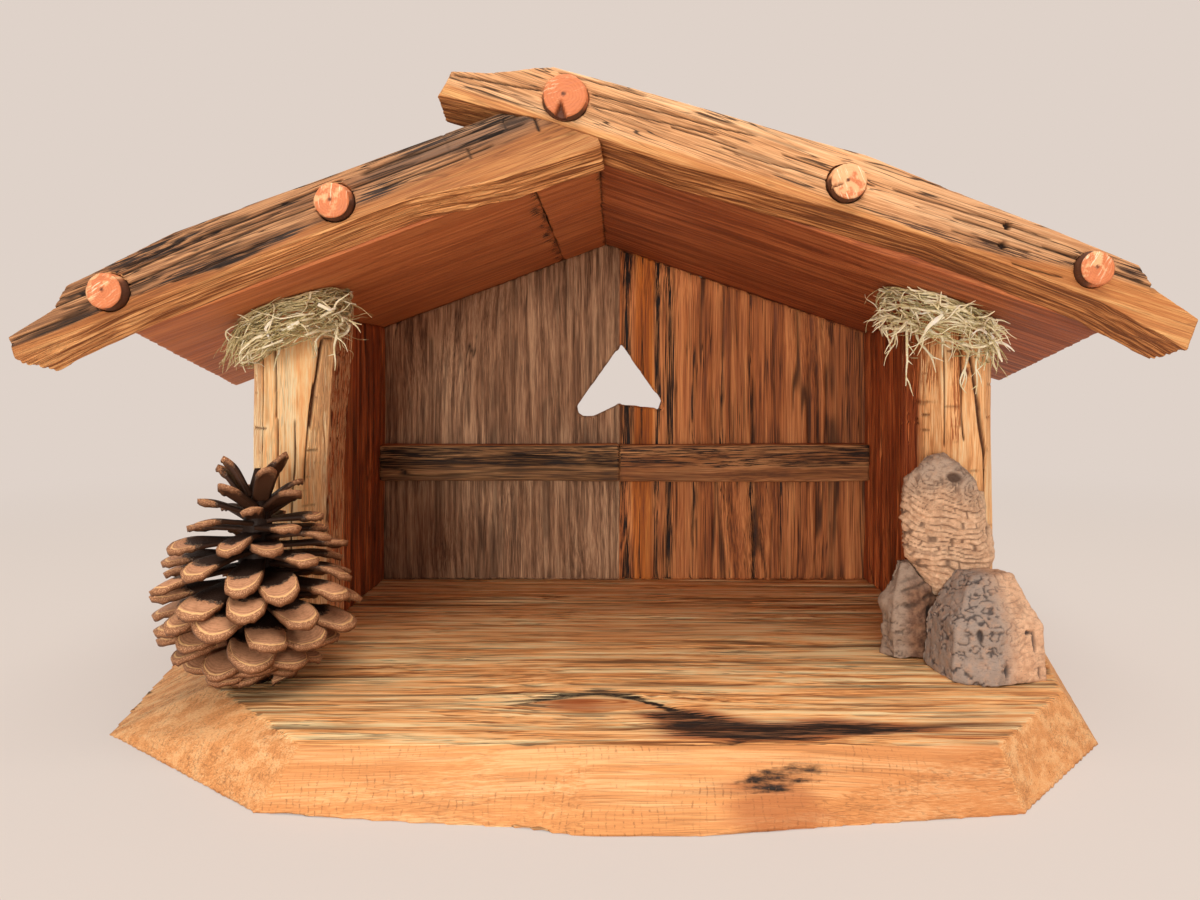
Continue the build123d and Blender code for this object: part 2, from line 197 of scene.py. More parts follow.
def woodMaterial(name, look):
    material, tree, shader = freshMaterial(name)
    where = wire(tree, "ShaderNodeAttribute", attribute_name="grainPlace").outputs["Vector"]
    grain = wire(tree, "ShaderNodeGroup", {"Vector": where, "Fine": look["fine"], "Stretch": look["stretch"],
                                           "Sway": look["sway"]}, node_tree=grainGroup).outputs
    fresh = maskOf(tree, "fresh")
    shade = blendTones(tree, fresh, toneRamp(tree, grain["Grain"], look["aged"]),
                       toneRamp(tree, grain["Grain"], look["cut"]))
    shade = blendTones(tree, times(tree, grain["Blotch"], look["blotch"]), shade, look["patch"])
    shade = blendTones(tree, maskOf(tree, "heart"), shade, look["heart"])
    if "under" in look:
        layered = spread(tree, speckle(tree, where, (0.03, 0.25, 1.6), 3.0, 0.6), 0.32, 0.68)
        shade = blendTones(tree, maskOf(tree, "below"), shade, toneRamp(tree, layered, look["under"]))
    ragged = spread(tree, grain["Fibre"], 0.0, 1.0, 0.4, -0.4)
    if "saw" in look:
        smudge = speckle(tree, where, (0.13, 0.5, 0.5), 4.0, 0.65)
        ragged = times(tree, ragged, minus(tree, 1.0, fresh))
        ragged = plus(tree, ragged, times(tree, spread(tree, smudge, 0.25, 0.75, 0.24, -0.24), fresh))
    soot = plus(tree, maskOf(tree, "stain"), ragged)
    soot = spread(tree, soot, 0.42, 0.85)
    shade = blendTones(tree, soot, shade, look["soot"])
    if "pore" in look:
        pores = spread(tree, speckle(tree, where, 1.1, 3.0, 0.7), 0.57, 0.72, 0.0, 0.8)
        shade = blendTones(tree, times(tree, pores, maskOf(tree, "ends")), shade, look["pore"])
    if "saw" in look:
        along = wire(tree, "ShaderNodeSeparateXYZ", {"Vector": where}).outputs[0]
        swing = times(tree, speckle(tree, where, 0.12, 2.0), 2.5)
        swing = reckon(tree, "FRACT", plus(tree, reckon(tree, "DIVIDE", along, look["saw"]), swing))
        stroke = spread(tree, awayFrom(tree, swing, 0.5), 0.03, 0.17, 1.0, 0.0)
        dotted = spread(tree, speckle(tree, where, 1.0, 3.0, 0.7), 0.47, 0.6, 0.0, 0.55)
        patchy = spread(tree, speckle(tree, where, (0.04, 0.12, 0.12), 2.0), 0.4, 0.6)
        sawn = times(tree, times(tree, stroke, dotted), times(tree, patchy, fresh))
        shade = blendTones(tree, sawn, shade, look["pore"])
    worn = spread(tree, fresh, 0.0, 1.0, look["lines"], 0.35 * look["lines"])
    lines = times(tree, larger(tree, grain["Lines"], maskOf(tree, "groove")), worn)
    if "hairs" in look:
        hairField = speckle(tree, where, (0.035, 0.8, 0.8), 1.0)
        hairs = spread(tree, awayFrom(tree, hairField, 0.5), 0.006, 0.032, 1.0, 0.0)
        sown = spread(tree, speckle(tree, where, (0.05, 0.35, 0.35), 2.0), 0.4, 0.52)
        hairs = times(tree, times(tree, hairs, sown), worn)
        lines = larger(tree, lines, times(tree, hairs, look["hairs"]))
    splits = larger(tree, maskOf(tree, "crack"), lines)
    shade = blendTones(tree, splits, shade, look["split"])
    paint(tree, shader, shade, spread(tree, grain["Fibre"], 0.0, 1.0, *look["rough"]))
    shader.inputs["Specular IOR Level"].default_value = 0.3
    raised = minus(tree, grain["Grain"], times(tree, splits, 1.2))
    bumped(tree, shader, raised, look["bump"], 0.35)
    return material


# Uneven surfaces: smooth noise on a lattice, sums of it, and soft steps

def latticeNoise(places, seed):
    cell = np.floor(places).astype(np.int64)
    part = places - cell
    ease = part * part * (3 - 2 * part)
    total = np.zeros(len(places))
    for corner in range(8):
        step = np.array([corner & 1, corner >> 1 & 1, corner >> 2 & 1])
        code = (cell + step) @ np.array([374761393, 668265263, 1440662683]) + seed * 1274126177
        code = (code ^ (code >> 13)) * 1274126177
        value = ((code ^ (code >> 16)) & 0xFFFF) / 32767.5 - 1
        total += value * np.prod(np.where(step, ease, 1 - ease), axis=1)
    return total


# The size of the waves is one length or three
def unevenness(places, size, octaves, seed):
    places = places / np.array(size)
    return sum(latticeNoise(places * 2 ** k, seed + 17 * k) * 0.5 ** k for k in range(octaves))


def softStep(low, high, value):
    share = np.clip((value - low) / (high - low), 0, 1)
    return share * share * (3 - 2 * share)


def spot(along, across, middle, reach):
    return np.exp(-((along - middle[0]) / reach[0]) ** 2 - ((across - middle[1]) / reach[1]) ** 2)


# Cracks drawn one by one: (start, end, height at start, height at end, half width)
def drawnCracks(along, across, lines, seed):
    strength = np.zeros(len(along))
    for number, (start, end, startHeight, endHeight, halfWidth) in enumerate(lines):
        share = np.clip((along - start) / (end - start), 0, 1)
        wander = latticeNoise(np.stack([along / 13, np.full_like(along, number), 0 * along], 1), seed)
        height = startHeight + (endHeight - startHeight) * share + 0.35 * wander
        taper = np.sqrt(np.sin(np.pi * share))
        near = 1 - softStep(0.4 * halfWidth, halfWidth + 0.2, np.abs(across - height))
        strength = np.maximum(strength, near * softStep(0.05, 0.4, taper))
    return strength


def meshFrom(bm, name):
    mesh = bpy.data.meshes.new(name)
    bm.to_mesh(mesh)
    bm.free()
    return mesh


def placed(name, data):
    holder = bpy.data.objects.new(name, data)
    bpy.context.collection.objects.link(holder)
    return holder


# What an object's modifiers or curve make, without the object
def settledMesh(holder):
    bpy.context.view_layer.update()
    mesh = bpy.data.meshes.new_from_object(holder.evaluated_get(bpy.context.evaluated_depsgraph_get()))
    bpy.data.objects.remove(holder)
    return mesh


# Grid points go back onto the true faces, then the arrises are rounded
def settledCopy(nodeName, mesh, soften):
    holder = placed(nodeName + "Settled", mesh)
    seat = holder.modifiers.new("seat", "SHRINKWRAP")
    seat.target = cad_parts[nodeName]
    seat.wrap_method = "NEAREST_SURFACEPOINT"
    if soften:
        rounding = holder.modifiers.new("rounding", "SMOOTH")
        rounding.iterations = soften
    return settledMesh(holder)


# A closed, gridded copy of a frame piece, ready to be weathered
# The cells are longer along the grain by 1 / squeeze, and softening rounds the arrises
def griddedCopy(nodeName, axes, cell, squeeze=1.0, soften=0):
    shorten = Matrix.Scale(squeeze, 4, Vector(axes[0]))
    bm = bmesh.new()
    bm.from_mesh(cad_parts[nodeName].data)
    bmesh.ops.remove_doubles(bm, verts=bm.verts, dist=1e-6)
    bmesh.ops.transform(bm, matrix=shorten, verts=bm.verts)
    blank = placed(nodeName + "Blank", meshFrom(bm, nodeName + "Blank"))
    grid = blank.modifiers.new("grid", "REMESH")
    grid.mode = "VOXEL"
    grid.voxel_size = cell * mm
    result = settledMesh(blank)
    result.transform(shorten.inverted())
    return settledCopy(nodeName, result, soften)


# A copy of a board cut into a fine grid by planes, its cells longer along the grain by 1 / squeeze
def slicedCopy(nodeName, axes, cell, squeeze, soften):
    bm = bmesh.new()
    bm.from_mesh(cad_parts[nodeName].data)
    bmesh.ops.remove_doubles(bm, verts=bm.verts, dist=1e-6)
    bmesh.ops.dissolve_limit(bm, angle_limit=math.radians(1), verts=bm.verts, edges=bm.edges)
    for axis, step in zip(axes, (cell / squeeze, cell, cell)):
        across = Vector(axis)
        reach = [vert.co.dot(across) for vert in bm.verts]
        low, high = min(reach), max(reach)
        count = max(1, round((high - low) / (step * mm)))
        for number in range(1, count):
            place = low + (high - low) * number / count
            bmesh.ops.bisect_plane(bm, geom=bm.verts[:] + bm.edges[:] + bm.faces[:], dist=1e-6,
                                   plane_co=across * place, plane_no=across)
    bmesh.ops.triangulate(bm, faces=[face for face in bm.faces if len(face.verts) > 4])
    for _ in range(soften):
        bmesh.ops.smooth_vert(bm, verts=bm.verts, factor=0.5, use_axis_x=True, use_axis_y=True,
                              use_axis_z=True)
    return meshFrom(bm, nodeName + "Sliced")


# Places in millimetres and normals of the vertices
def readShape(mesh):
    fields = np.empty((2, len(mesh.vertices) * 3))
    for name, values in zip(("co", "normal"), fields):
        mesh.vertices.foreach_get(name, values)
    places, facing = fields.reshape(2, -1, 3)
    return places / mm, facing


def storeMask(mesh, name, values):
    mask = mesh.attributes.new(name, "FLOAT", "POINT")
    mask.data.foreach_set("value", np.clip(values, 0, 1).astype(np.float32))


def storePlaces(mesh, name, places):
    field = mesh.attributes.new(name, "FLOAT_VECTOR", "POINT")
    field.data.foreach_set("vector", places.astype(np.float32).ravel())


def storeShape(mesh, places, masks):
    mesh.vertices.foreach_set("co", (places * mm).ravel())
    for name, values in masks.items():
        storeMask(mesh, name, values)
    mesh.update()


def mount(name, mesh, material, slotName, *nodes):
    mesh.name = name
    mesh.materials.clear()
    mesh.materials.append(material)
    mesh.shade_smooth()
    piece = placed(name, mesh)
    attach(piece, "root")
    if nodes:
        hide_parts(*nodes)


# Weathering: ridges and grooves along the grain, slow waves, random splits, and the piece's own marks
# marks(places, facing, board) gives some of the masks, a calm mask for faces that stay smooth, and an
# offset in millimetres
markNames = ("stain", "heart", "ends", "below", "fresh", "crack", "calm", "offset")


def weatheredBoard(nodeName, axes, look, material, slotName, marks):
    mesh = look["grid"](nodeName, axes, look["cell"], look["squeeze"], look["soften"])
    places, facing = readShape(mesh)
    board = np.stack([places @ np.array(axis) for axis in axes], 1)
    if "flow" in look:
        look["flow"](board)
    seed = look["seed"]
    board[:, 1:] += 1.6 * unevenness(board, (90.0, 30.0, 30.0), 2, seed + 5)[:, None]

    def alongGrain(long, wide, octaves, step):
        return unevenness(board, (long, wide, wide), octaves, seed + step)

    ridges = alongGrain(look["ridgeLong"], look["ridgeWide"], 3, 0)
    waves = alongGrain(70.0, look["waveWide"], 2, 1)
    splitField = alongGrain(look["splitLong"], look["splitWide"], 2, 2)
    split = softStep(look["splitFrom"], look["splitFrom"] + 0.3, alongGrain(60.0, 16.0, 2, 3))
    crack = (1 - softStep(0.0, look["splitEdge"], np.abs(splitField))) * split
    grooveField = alongGrain(look["grooveLong"], look["grooveWide"], 2, 4)
    dashes = unevenness(board, (look["grooveLong"] / 5, 2.5 * look["grooveWide"], 8.0), 2, seed + 6)
    groove = 1 - softStep(0.03, look["grooveEdge"], np.abs(grooveField))
    groove = groove * softStep(look["grooveFrom"], look["grooveFrom"] + 0.4, dashes)
    extra = dict.fromkeys(markNames, np.zeros(len(places)))
    extra.update(marks(places, facing, board))
    sawn, rugged = extra["fresh"], 1 - extra["calm"]
    crack = np.maximum(crack * (1 - 0.7 * sawn) * rugged, extra["crack"])
    groove = groove * (1 - 0.75 * sawn) * rugged
    offset = (look["ridge"] * ridges * (1 - 0.6 * sawn) + look["wave"] * waves) * rugged
    offset = offset - look["grooveDepth"] * groove - look["splitDepth"] * crack + extra["offset"]
    places += facing * offset[:, None]
    places[:, 2] = np.maximum(places[:, 2], 0.0)          # nothing reaches below the underside
    storePlaces(mesh, "grainPlace", board)
    masks = {name: extra[name] for name in ("stain", "heart", "ends", "below", "fresh")}
    storeShape(mesh, places, dict(masks, crack=crack, groove=groove))
    mount(nodeName + "Wood", mesh, material, slotName, nodeName)


# Directions: along the grain first, then up the face, then through the board
roofLine = dict(ridgeX=-4.0, ridgeZ=166.5, leftPitch=20.5, rightPitch=18.8)


def slopeAxes(side):
    pitch = math.radians(roofLine["leftPitch"] if side < 0 else roofLine["rightPitch"])
    down = (side * math.cos(pitch), 0.0, -math.sin(pitch))
    up = (side * math.sin(pitch), 0.0, math.cos(pitch))
    return down, up, (0.0, 1.0, 0.0)


def slopePlace(places, side):
    down, up, _ = slopeAxes(side)
    fromRidge = places - np.array([roofLine["ridgeX"], 0.0, roofLine["ridgeZ"]])
    return fromRidge @ np.array(down), fromRidge @ np.array(up)


levelAxes = ((1.0, 0.0, 0.0), (0.0, 0.0, 1.0), (0.0, 1.0, 0.0))
uprightAxes = ((0.0, 0.0, 1.0), (1.0, 0.0, 0.0), (0.0, 1.0, 0.0))


# What the boards share: relief along the grain in millimetres, then the grain itself
boardLook = dict(
    grid=griddedCopy, squeeze=0.3, soften=1, ridgeLong=60.0, ridgeWide=3.0, ridge=0.3, waveWide=12.0,
    wave=0.4, grooveWide=2.6, grooveDepth=0.4, grooveEdge=0.24, grooveFrom=-0.9, splitLong=70.0,
    splitWide=6.0, splitFrom=0.2, splitEdge=0.05, splitDepth=0.8, fine=1.1, stretch=40.0, sway=1.0,
    blotch=0.3, lines=0.75, rough=(0.6, 0.85), bump=0.5,
)


# Base board: thick plank, grain across, bright sawn bevels, a knot with a scorched streak on top
# Top marks are (side, depth), front marks (side, height)

baseLook = dict(
    boardLook, grid=slicedCopy, cell=0.95, squeeze=0.42, soften=2, seed=3, ridgeLong=120.0, ridge=0.22,
    waveWide=24.0, wave=0.3, grooveLong=260.0, grooveWide=2.5, grooveDepth=0.45, grooveEdge=0.2,
    grooveFrom=-0.7, splitLong=110.0, splitWide=8.0, splitDepth=0.6, fine=1.35, stretch=50.0, blotch=0.25,
    saw=1.9, aged=[(0.12, (152, 84, 40)), (0.38, (252, 178, 108)), (0.8, (255, 230, 176))],
    cut=[(0.1, (200, 132, 76)), (0.5, (220, 152, 94)), (0.88, (234, 180, 126))], patch=(228, 156, 92),
    heart=(158, 80, 38), soot=(20, 13, 9), split=(50, 27, 14), pore=(136, 84, 48), knot=(-7.0, -62.0),
    knotReach=(20.0, 5.0),
    burn=[((33, -83.5), (22, 2.6)), ((55, -76.5), (18, 3.6)), ((24, -76), (12, 4.6)),
          ((17, -69), (10, 3.4)), ((72, -79), (14, 2.2)), ((45, -80), (16, 3.2))],
    arch=dict(height=-61.0, rise=9.0, middle=-5.0, reach=15.0, fall=11.0, half=2.4),
    scorch=[((45, 10.4), (11, 3.0)), ((35, 8.4), (7, 2.2))], browning=((38, 5.0), (15, 7.5)),
)


# Lines of grain part round the knot
def baseFlow(board):
    x, y = board[:, 0] - baseLook["knot"][0], board[:, 2] - baseLook["knot"][1]
    board[:, 2] -= 5.0 * np.tanh(y / 3.0) * np.exp(-(x / 26.0) ** 2 - (y / 14.0) ** 2)


baseLook["flow"] = baseFlow


def baseMarks(places, facing, board):
    x, y, z = places.T
    streaks = unevenness(board, (26.0, 2.0, 2.0), 3, 91)
    top = softStep(0.8, 0.96, facing[:, 2])
    sides = softStep(0.3, 0.55, np.hypot(facing[:, 0], facing[:, 1]))
    front = softStep(0.3, 0.6, -facing[:, 1]) * (1 - softStep(0.25, 0.45, np.abs(facing[:, 0])))
    facets = np.clip(sides - front, 0, 1)
    arch = baseLook["arch"]
    archLine = arch["height"] + arch["rise"] * np.exp(-((x - arch["middle"]) / arch["reach"]) ** 2)
    archLine = archLine - arch["fall"] * softStep(2.0, 28.0, x)
    rim = np.exp(-((y + 0.7 * streaks - archLine) / arch["half"]) ** 2)
    rim = rim * softStep(-40, -12, x) * softStep(38, 22, x)
    burn = sum(spot(x, y + 1.3 * streaks, *blot) for blot in baseLook["burn"])
    stain = top * np.maximum(1.05 * softStep(0.1, 0.9, burn + 0.35 * streaks), 1.3 * rim)
    scorch = sum(spot(x + 2 * streaks, z + 0.9 * streaks, *blot) for blot in baseLook["scorch"])
    browning = softStep(0.25, 0.8, spot(x, z, *baseLook["browning"]) + 0.3 * streaks)
    stain += front * (0.56 * softStep(0.1, 0.9, scorch + 0.3 * streaks) + 0.14 * browning)
    # The facets are darker towards the floor
    stain += 0.25 * facets * softStep(10.0, 1.0, z)
    heart = top * softStep(0.2, 0.6, spot(x, y, baseLook["knot"], baseLook["knotReach"]))
    heart = heart * (0.45 + 0.45 * softStep(-0.4, 0.3, streaks))
    heart = np.maximum(heart, 0.85 * top * softStep(0.05, 0.5, burn))
    heart = np.maximum(heart, 0.3 * top * softStep(40.0, 100.0, x) * softStep(-55.0, -75.0, y))
    heart = np.maximum(heart, front * np.maximum(0.6 * browning, 0.25 * softStep(10.0, 90.0, x)))
    saw = latticeNoise(np.stack([x / 3.3, z / 30.0, 0 * x], 1), 6)
    chipped = unevenness(places, 1.8, 2, 95)
    lip = front * softStep(3.0, 0.5, z) * softStep(0.0, 0.6, unevenness(places, (22.0, 9.0, 9.0), 2, 97))
    return dict(stain=stain, heart=heart, fresh=np.clip(front + 0.9 * facets, 0, 1),
                ends=0.9 * facets + 0.2 * front, calm=np.clip(0.85 * front + 0.95 * facets, 0, 1),
                offset=0.08 * saw * front + 0.06 * chipped * facets - 0.3 * stain * top - 0.5 * lip)


baseGrain = woodMaterial("basePlank", baseLook)
weatheredBoard("base_board", levelAxes, baseLook, baseGrain, "weathered_plank", baseMarks)
print("base board weathered")


# Split log posts: straw coloured, checked along the grain

leftPostLook = dict(
    boardLook, cell=0.37, squeeze=0.5, soften=2, seed=21, ridgeLong=45.0, ridge=0.35, wave=0.6,
    grooveLong=70.0, grooveWide=3.6, grooveDepth=0.45, grooveEdge=0.16, grooveFrom=0.0, splitLong=60.0,
    splitFrom=0.35, splitDepth=1.0, stretch=20.0, blotch=0.2, lines=0.3, rough=(0.65, 0.9), bump=0.45,
    aged=[(0.12, (248, 176, 112)), (0.5, (255, 208, 148)), (0.88, (255, 234, 190))],
    cut=[(0.1, (150, 92, 48)), (0.5, (200, 140, 82)), (0.9, (226, 176, 116))], patch=(250, 200, 144),
    heart=(120, 66, 36), soot=(222, 172, 124), split=(84, 48, 24), inward=1,
    under=[(0.12, (94, 41, 23)), (0.5, (168, 81, 44)), (0.9, (228, 134, 77))],
    weathered=[(-123.0, 3.6, 10.0), (-97.2, 4.8, 10.0)],
    cracks=[(100, 133, -113.3, -113.3, 0.4), (92, 101, -112.7, -112.7, 0.3),
            (66, 92, -111.9, -111.9, 0.35), (60, 118, -118.5, -117.5, 0.2), (88, 119, -102.5, -98.4, 0.4),
            (40, 92, -108.0, -106.5, 0.2), (70, 104, -104.0, -101.0, 0.3)],
    checks=[(-121.2, -115.3, 109.0), (-124.0, -118.6, 100.5), (-124.2, -116.0, 88.4),
            (-124.0, -122.0, 106.2), (-103.3, -100.0, 80.7), (-98.4, -95.8, 118.8), (-100.6, -98.8, 115.1),
            (-110.0, -105.0, 52.0)],
    knots=[],
)
rightPostLook = dict(
    leftPostLook, inward=-1, seed=33, grooveFrom=-0.3, weathered=[(112.6, 2.0, 84.0), (104.8, 1.4, 102.0)],
    aged=[(0.12, (200, 132, 78)), (0.5, (250, 188, 128)), (0.88, (255, 222, 172))], patch=(224, 162, 104),
    soot=(176, 104, 56),
    cracks=[(94, 117, 121.6, 117.6, 0.7), (74, 99, 124.0, 121.2, 0.8), (40, 80, 124.0, 123.8, 0.7),
            (104, 130, 114.8, 114.6, 0.3), (84, 106, 116.0, 114.8, 0.2), (82, 122, 110.2, 110.0, 0.2),
            (30, 70, 113.0, 112.0, 0.25)],
    checks=[(110.8, 114.6, 114.1), (111.0, 114.6, 110.3), (111.0, 115.0, 103.6), (111.2, 115.4, 98.5),
            (111.4, 115.6, 89.7), (104.3, 108.9, 98.5), (104.3, 106.6, 93.0), (104.3, 106.6, 87.5),
            (124.5, 128.5, 92.5)],
    knots=[(116.9, 107.3, 1.7)],
)


def postMarks(look):
    def marks(places, facing, board):
        height, side = places[:, 2], places[:, 0]
        crack = drawnCracks(height, side, look["cracks"], look["seed"])
        upright = np.stack([height, side, places[:, 1]], 1)
        nicks = unevenness(upright, (1.2, 8.0, 8.0), 2, look["seed"] + 7)
        crack = np.maximum(crack, 0.5 * softStep(0.8, 1.05, nicks))
        across = [(start, end, level, level, 0.12) for start, end, level in look["checks"]]
        front = softStep(0.3, 0.6, -facing[:, 1])
        crack = np.maximum(crack, 0.8 * front * drawnCracks(side, height, across, look["seed"] + 1))
        drift = side + 2.5 * unevenness(board, (50.0, 7.0, 7.0), 2, look["seed"] + 9)
        stain = np.zeros(len(places))
        for middle, half, foot in look["weathered"]:
            strip = softStep(half + 1.5, half - 1.0, np.abs(drift - middle))
            stain = np.maximum(stain, 0.65 * strip * softStep(foot - 4.0, foot + 4.0, height))
        heart = np.zeros(len(places))
        offset = -0.6 * stain
        for across, up, radius in look["knots"]:
            reach = np.hypot(side - across, (height - up) * 0.9)
            heart = np.maximum(heart, 1 - softStep(0.75 * radius, 1.0 * radius, reach))
            ring = np.exp(-((reach - 1.35 * radius) / 0.5) ** 2)
            offset += 0.6 * ring - 0.5 * heart
        inner = softStep(0.3, 0.6, look["inward"] * facing[:, 0]) * softStep(-4.5, 0.5, places[:, 1])
        return dict(crack=crack, stain=stain, heart=heart, below=inner, offset=offset)
    return marks


for nodeName, look in (("left_post", leftPostLook), ("right_post", rightPostLook)):
    postGrain = woodMaterial(nodeName + "Grain", look)
    weatheredBoard(nodeName, uprightAxes, look, postGrain, "post_wood", postMarks(look))
print("posts split and checked")


# Upright boards of the walls

sideWallLook = dict(
    boardLook, cell=0.75, seed=41, ridge=0.4, grooveLong=110.0, grooveWide=3.2, splitLong=80.0,
    splitEdge=0.06, fine=1.0, stretch=36.0, sway=2.5, blotch=0.4, lines=0.6, rough=(0.42, 0.7),
    aged=[(0.12, (100, 44, 24)), (0.5, (188, 93, 48)), (0.9, (246, 148, 85))],
    cut=[(0.15, (150, 66, 30)), (0.5, (200, 116, 60)), (0.9, (226, 156, 92))], patch=(78, 36, 22),
    heart=(60, 26, 14), soot=(34, 16, 11), split=(20, 9, 6), highlightLines=[18.5, 24.5],
)


# The two raised ridges are real relief; their lighter sawn tones are painted highlight lines
def sideWallMarks(places, facing, board):
    depth = places[:, 1] + 0.6 * unevenness(board, (30.0, 8.0, 8.0), 2, 47)
    ridge = sum(np.exp(-((depth - line) / 1.1) ** 2) for line in sideWallLook["highlightLines"])
    return dict(fresh=0.85 * ridge, offset=0.6 * ridge)


sideWallGrain = woodMaterial("sideWallGrain", sideWallLook)
sideWalls = ("left_wall_front", "left_wall_rear", "right_wall_front", "right_wall_rear")
for number, nodeName in enumerate(sideWalls):
    look = dict(sideWallLook, seed=sideWallLook["seed"] + 6 * number)
    weatheredBoard(nodeName, uprightAxes, look, sideWallGrain, "dark_board", sideWallMarks)

greyBoardLook = dict(
    boardLook, cell=0.64, seed=63, ridgeLong=80.0, ridge=0.2, waveWide=20.0, wave=0.25, grooveLong=130.0,
    grooveDepth=0.25, grooveEdge=0.2, grooveFrom=-0.4, splitLong=90.0, splitWide=7.0, splitFrom=0.4,
    splitDepth=0.6, fine=2.1, stretch=46.0, blotch=0.35, lines=0.5, bump=0.45, joint=1.8,
    aged=[(0.12, (84, 57, 39)), (0.5, (160, 118, 88)), (0.9, (216, 174, 136))],
    cut=[(0.1, (120, 76, 42)), (0.5, (170, 116, 68)), (0.9, (200, 150, 96))], patch=(136, 92, 62),
    heart=(70, 44, 28), soot=(48, 32, 22), split=(44, 30, 20),
)
stripedBoardLook = dict(
    greyBoardLook, seed=77, ridge=0.3, grooveWide=4.0, grooveDepth=0.5, fine=1.2, stretch=80.0, blotch=0.3,
    lines=0.8, aged=[(0.12, (112, 58, 30)), (0.5, (192, 114, 64)), (0.88, (234, 158, 98))],
    cut=[(0.1, (140, 70, 26)), (0.5, (206, 116, 46)), (0.9, (238, 158, 80))], patch=(128, 72, 38),
    soot=(24, 15, 11), split=(20, 11, 8), amber=(8.5, 17.0),
    bands=[(5.0, 2.2), (11.5, 0.6), (19.0, 1.4), (24.3, 1.7), (35.0, 0.7), (48.0, 0.9), (62.0, 1.2),
           (75.0, 0.8)],
)


# The two back boards meet without a slit
def jointFill(places, facing):
    near = softStep(1.6, 0.6, np.abs(places[:, 0] - greyBoardLook["joint"]))
    return near * softStep(0.2, 0.5, np.abs(facing[:, 0]))


def greyMarks(places, facing, board):
    joint = jointFill(places, facing)
    return dict(calm=joint, offset=0.5 * joint)


def stripedMarks(places, facing, board):
    joint = jointFill(places, facing)
    side = places[:, 0] + 1.3 * unevenness(board, (60.0, 14.0, 14.0), 2, 83)
    dark = sum(np.exp(-((side - middle) / half) ** 2) for middle, half in stripedBoardLook["bands"])
    dark = dark * softStep(-0.9, 0.0, unevenness(board, (45.0, 5.0, 9.0), 2, 85))
    low, high = stripedBoardLook["amber"]
    amber = softStep(low - 1.0, low + 1.0, side) * softStep(high + 1.0, high - 1.0, side)
    return dict(stain=0.94 * dark, fresh=amber, calm=joint, offset=0.5 * joint - 0.4 * np.clip(dark, 0, 1))


greyGrain = woodMaterial("greyBoardGrain", greyBoardLook)
weatheredBoard("back_board_left", uprightAxes, greyBoardLook, greyGrain, "grey_board", greyMarks)
stripedGrain = woodMaterial("stripedBoardGrain", stripedBoardLook)
weatheredBoard("back_board_right", uprightAxes, stripedBoardLook, stripedGrain, "striped_board", stripedMarks)

railLook = dict(
    boardLook, cell=0.6, squeeze=0.4, seed=88, waveWide=10.0, grooveLong=90.0, splitWide=4.0, splitFrom=0.0,
    splitEdge=0.09, lines=0.7, shadeFrom=67.0,
    aged=[(0.12, (78, 52, 34)), (0.5, (148, 106, 68)), (0.9, (200, 152, 104))],
    cut=[(0.1, (130, 74, 38)), (0.5, (186, 112, 62)), (0.9, (216, 150, 96))], patch=(96, 64, 42),
    heart=(60, 36, 20), soot=(44, 28, 18), split=(18, 11, 8),
)


# On the rails the top faces take the lighter sawn tones as a painted highlight; the front is darker above
# shadeFrom, and the right rail is more orange
def railMarks(places, facing, board):
    height = places[:, 2] + unevenness(board, (30.0, 3.0, 3.0), 2, 93)
    top = softStep(0.4, 0.8, facing[:, 2])
    shadeFrom = railLook["shadeFrom"]
    shaded = 0.62 * softStep(shadeFrom - 1.2, shadeFrom + 1.2, height) * (1 - top)
    return dict(stain=shaded, fresh=np.maximum(top, 0.6 * softStep(0.0, 4.0, places[:, 0])))


railGrain = woodMaterial("railGrain", railLook)
for number, nodeName in enumerate(("back_rail_left", "back_rail_right")):
    look = dict(railLook, seed=railLook["seed"] + 5 * number)
    weatheredBoard(nodeName, levelAxes, look, railGrain, "rail_wood", railMarks)
print("walls and rails weathered")


# Roof boards: reddish sawn soffit below, weathered brown above

leftRoofLook = dict(
    boardLook, grid=slicedCopy, cell=0.72, squeeze=0.28, seed=101, ridgeLong=90.0, ridgeWide=3.4,
    ridge=0.16, waveWide=30.0, wave=0.25, grooveLong=140.0, grooveWide=3.6, grooveDepth=0.3,
    splitLong=130.0, splitWide=9.0, splitFrom=0.3, splitEdge=0.04, splitDepth=0.7, fine=1.5, blotch=0.2,
    lines=0.55, rough=(0.5, 0.75), bump=0.4, joints=[(-24.2, 0.9), (-4.0, 0.5)],
    aged=[(0.12, (92, 66, 46)), (0.5, (142, 104, 70)), (0.88, (180, 140, 100))],
    cut=[(0.12, (172, 94, 52)), (0.5, (206, 122, 72)), (0.88, (226, 148, 92))], patch=(150, 86, 48),
    heart=(80, 44, 24), soot=(40, 22, 14), split=(48, 26, 16),
)
rightRoofLook = dict(
    leftRoofLook, seed=113, lines=0.8,
    cut=[(0.12, (118, 58, 32)), (0.5, (172, 92, 52)), (0.88, (216, 134, 82))],
)


# The joint of the ridge strip is torn and dark below
def roofMarks(places, facing, board):
    below = softStep(0.2, 0.6, -facing[:, 2])
    torn = unevenness(board, (4.0, 2.0, 5.0), 3, 131)
    side = places[:, 0] + 0.9 * unevenness(places, (9.0, 4.0, 9.0), 3, 137)
    joints = leftRoofLook["joints"]
    dark = sum(softStep(half + 0.7, 0.4 * half, np.abs(side - middle)) for middle, half in joints)
    fresh = np.maximum(below, softStep(0.3, 0.7, -facing[:, 1]))
    offset = 0.4 * torn * (1 - np.abs(facing[:, 2])) - 0.5 * dark * below
    return dict(fresh=fresh, stain=dark * below, offset=offset)


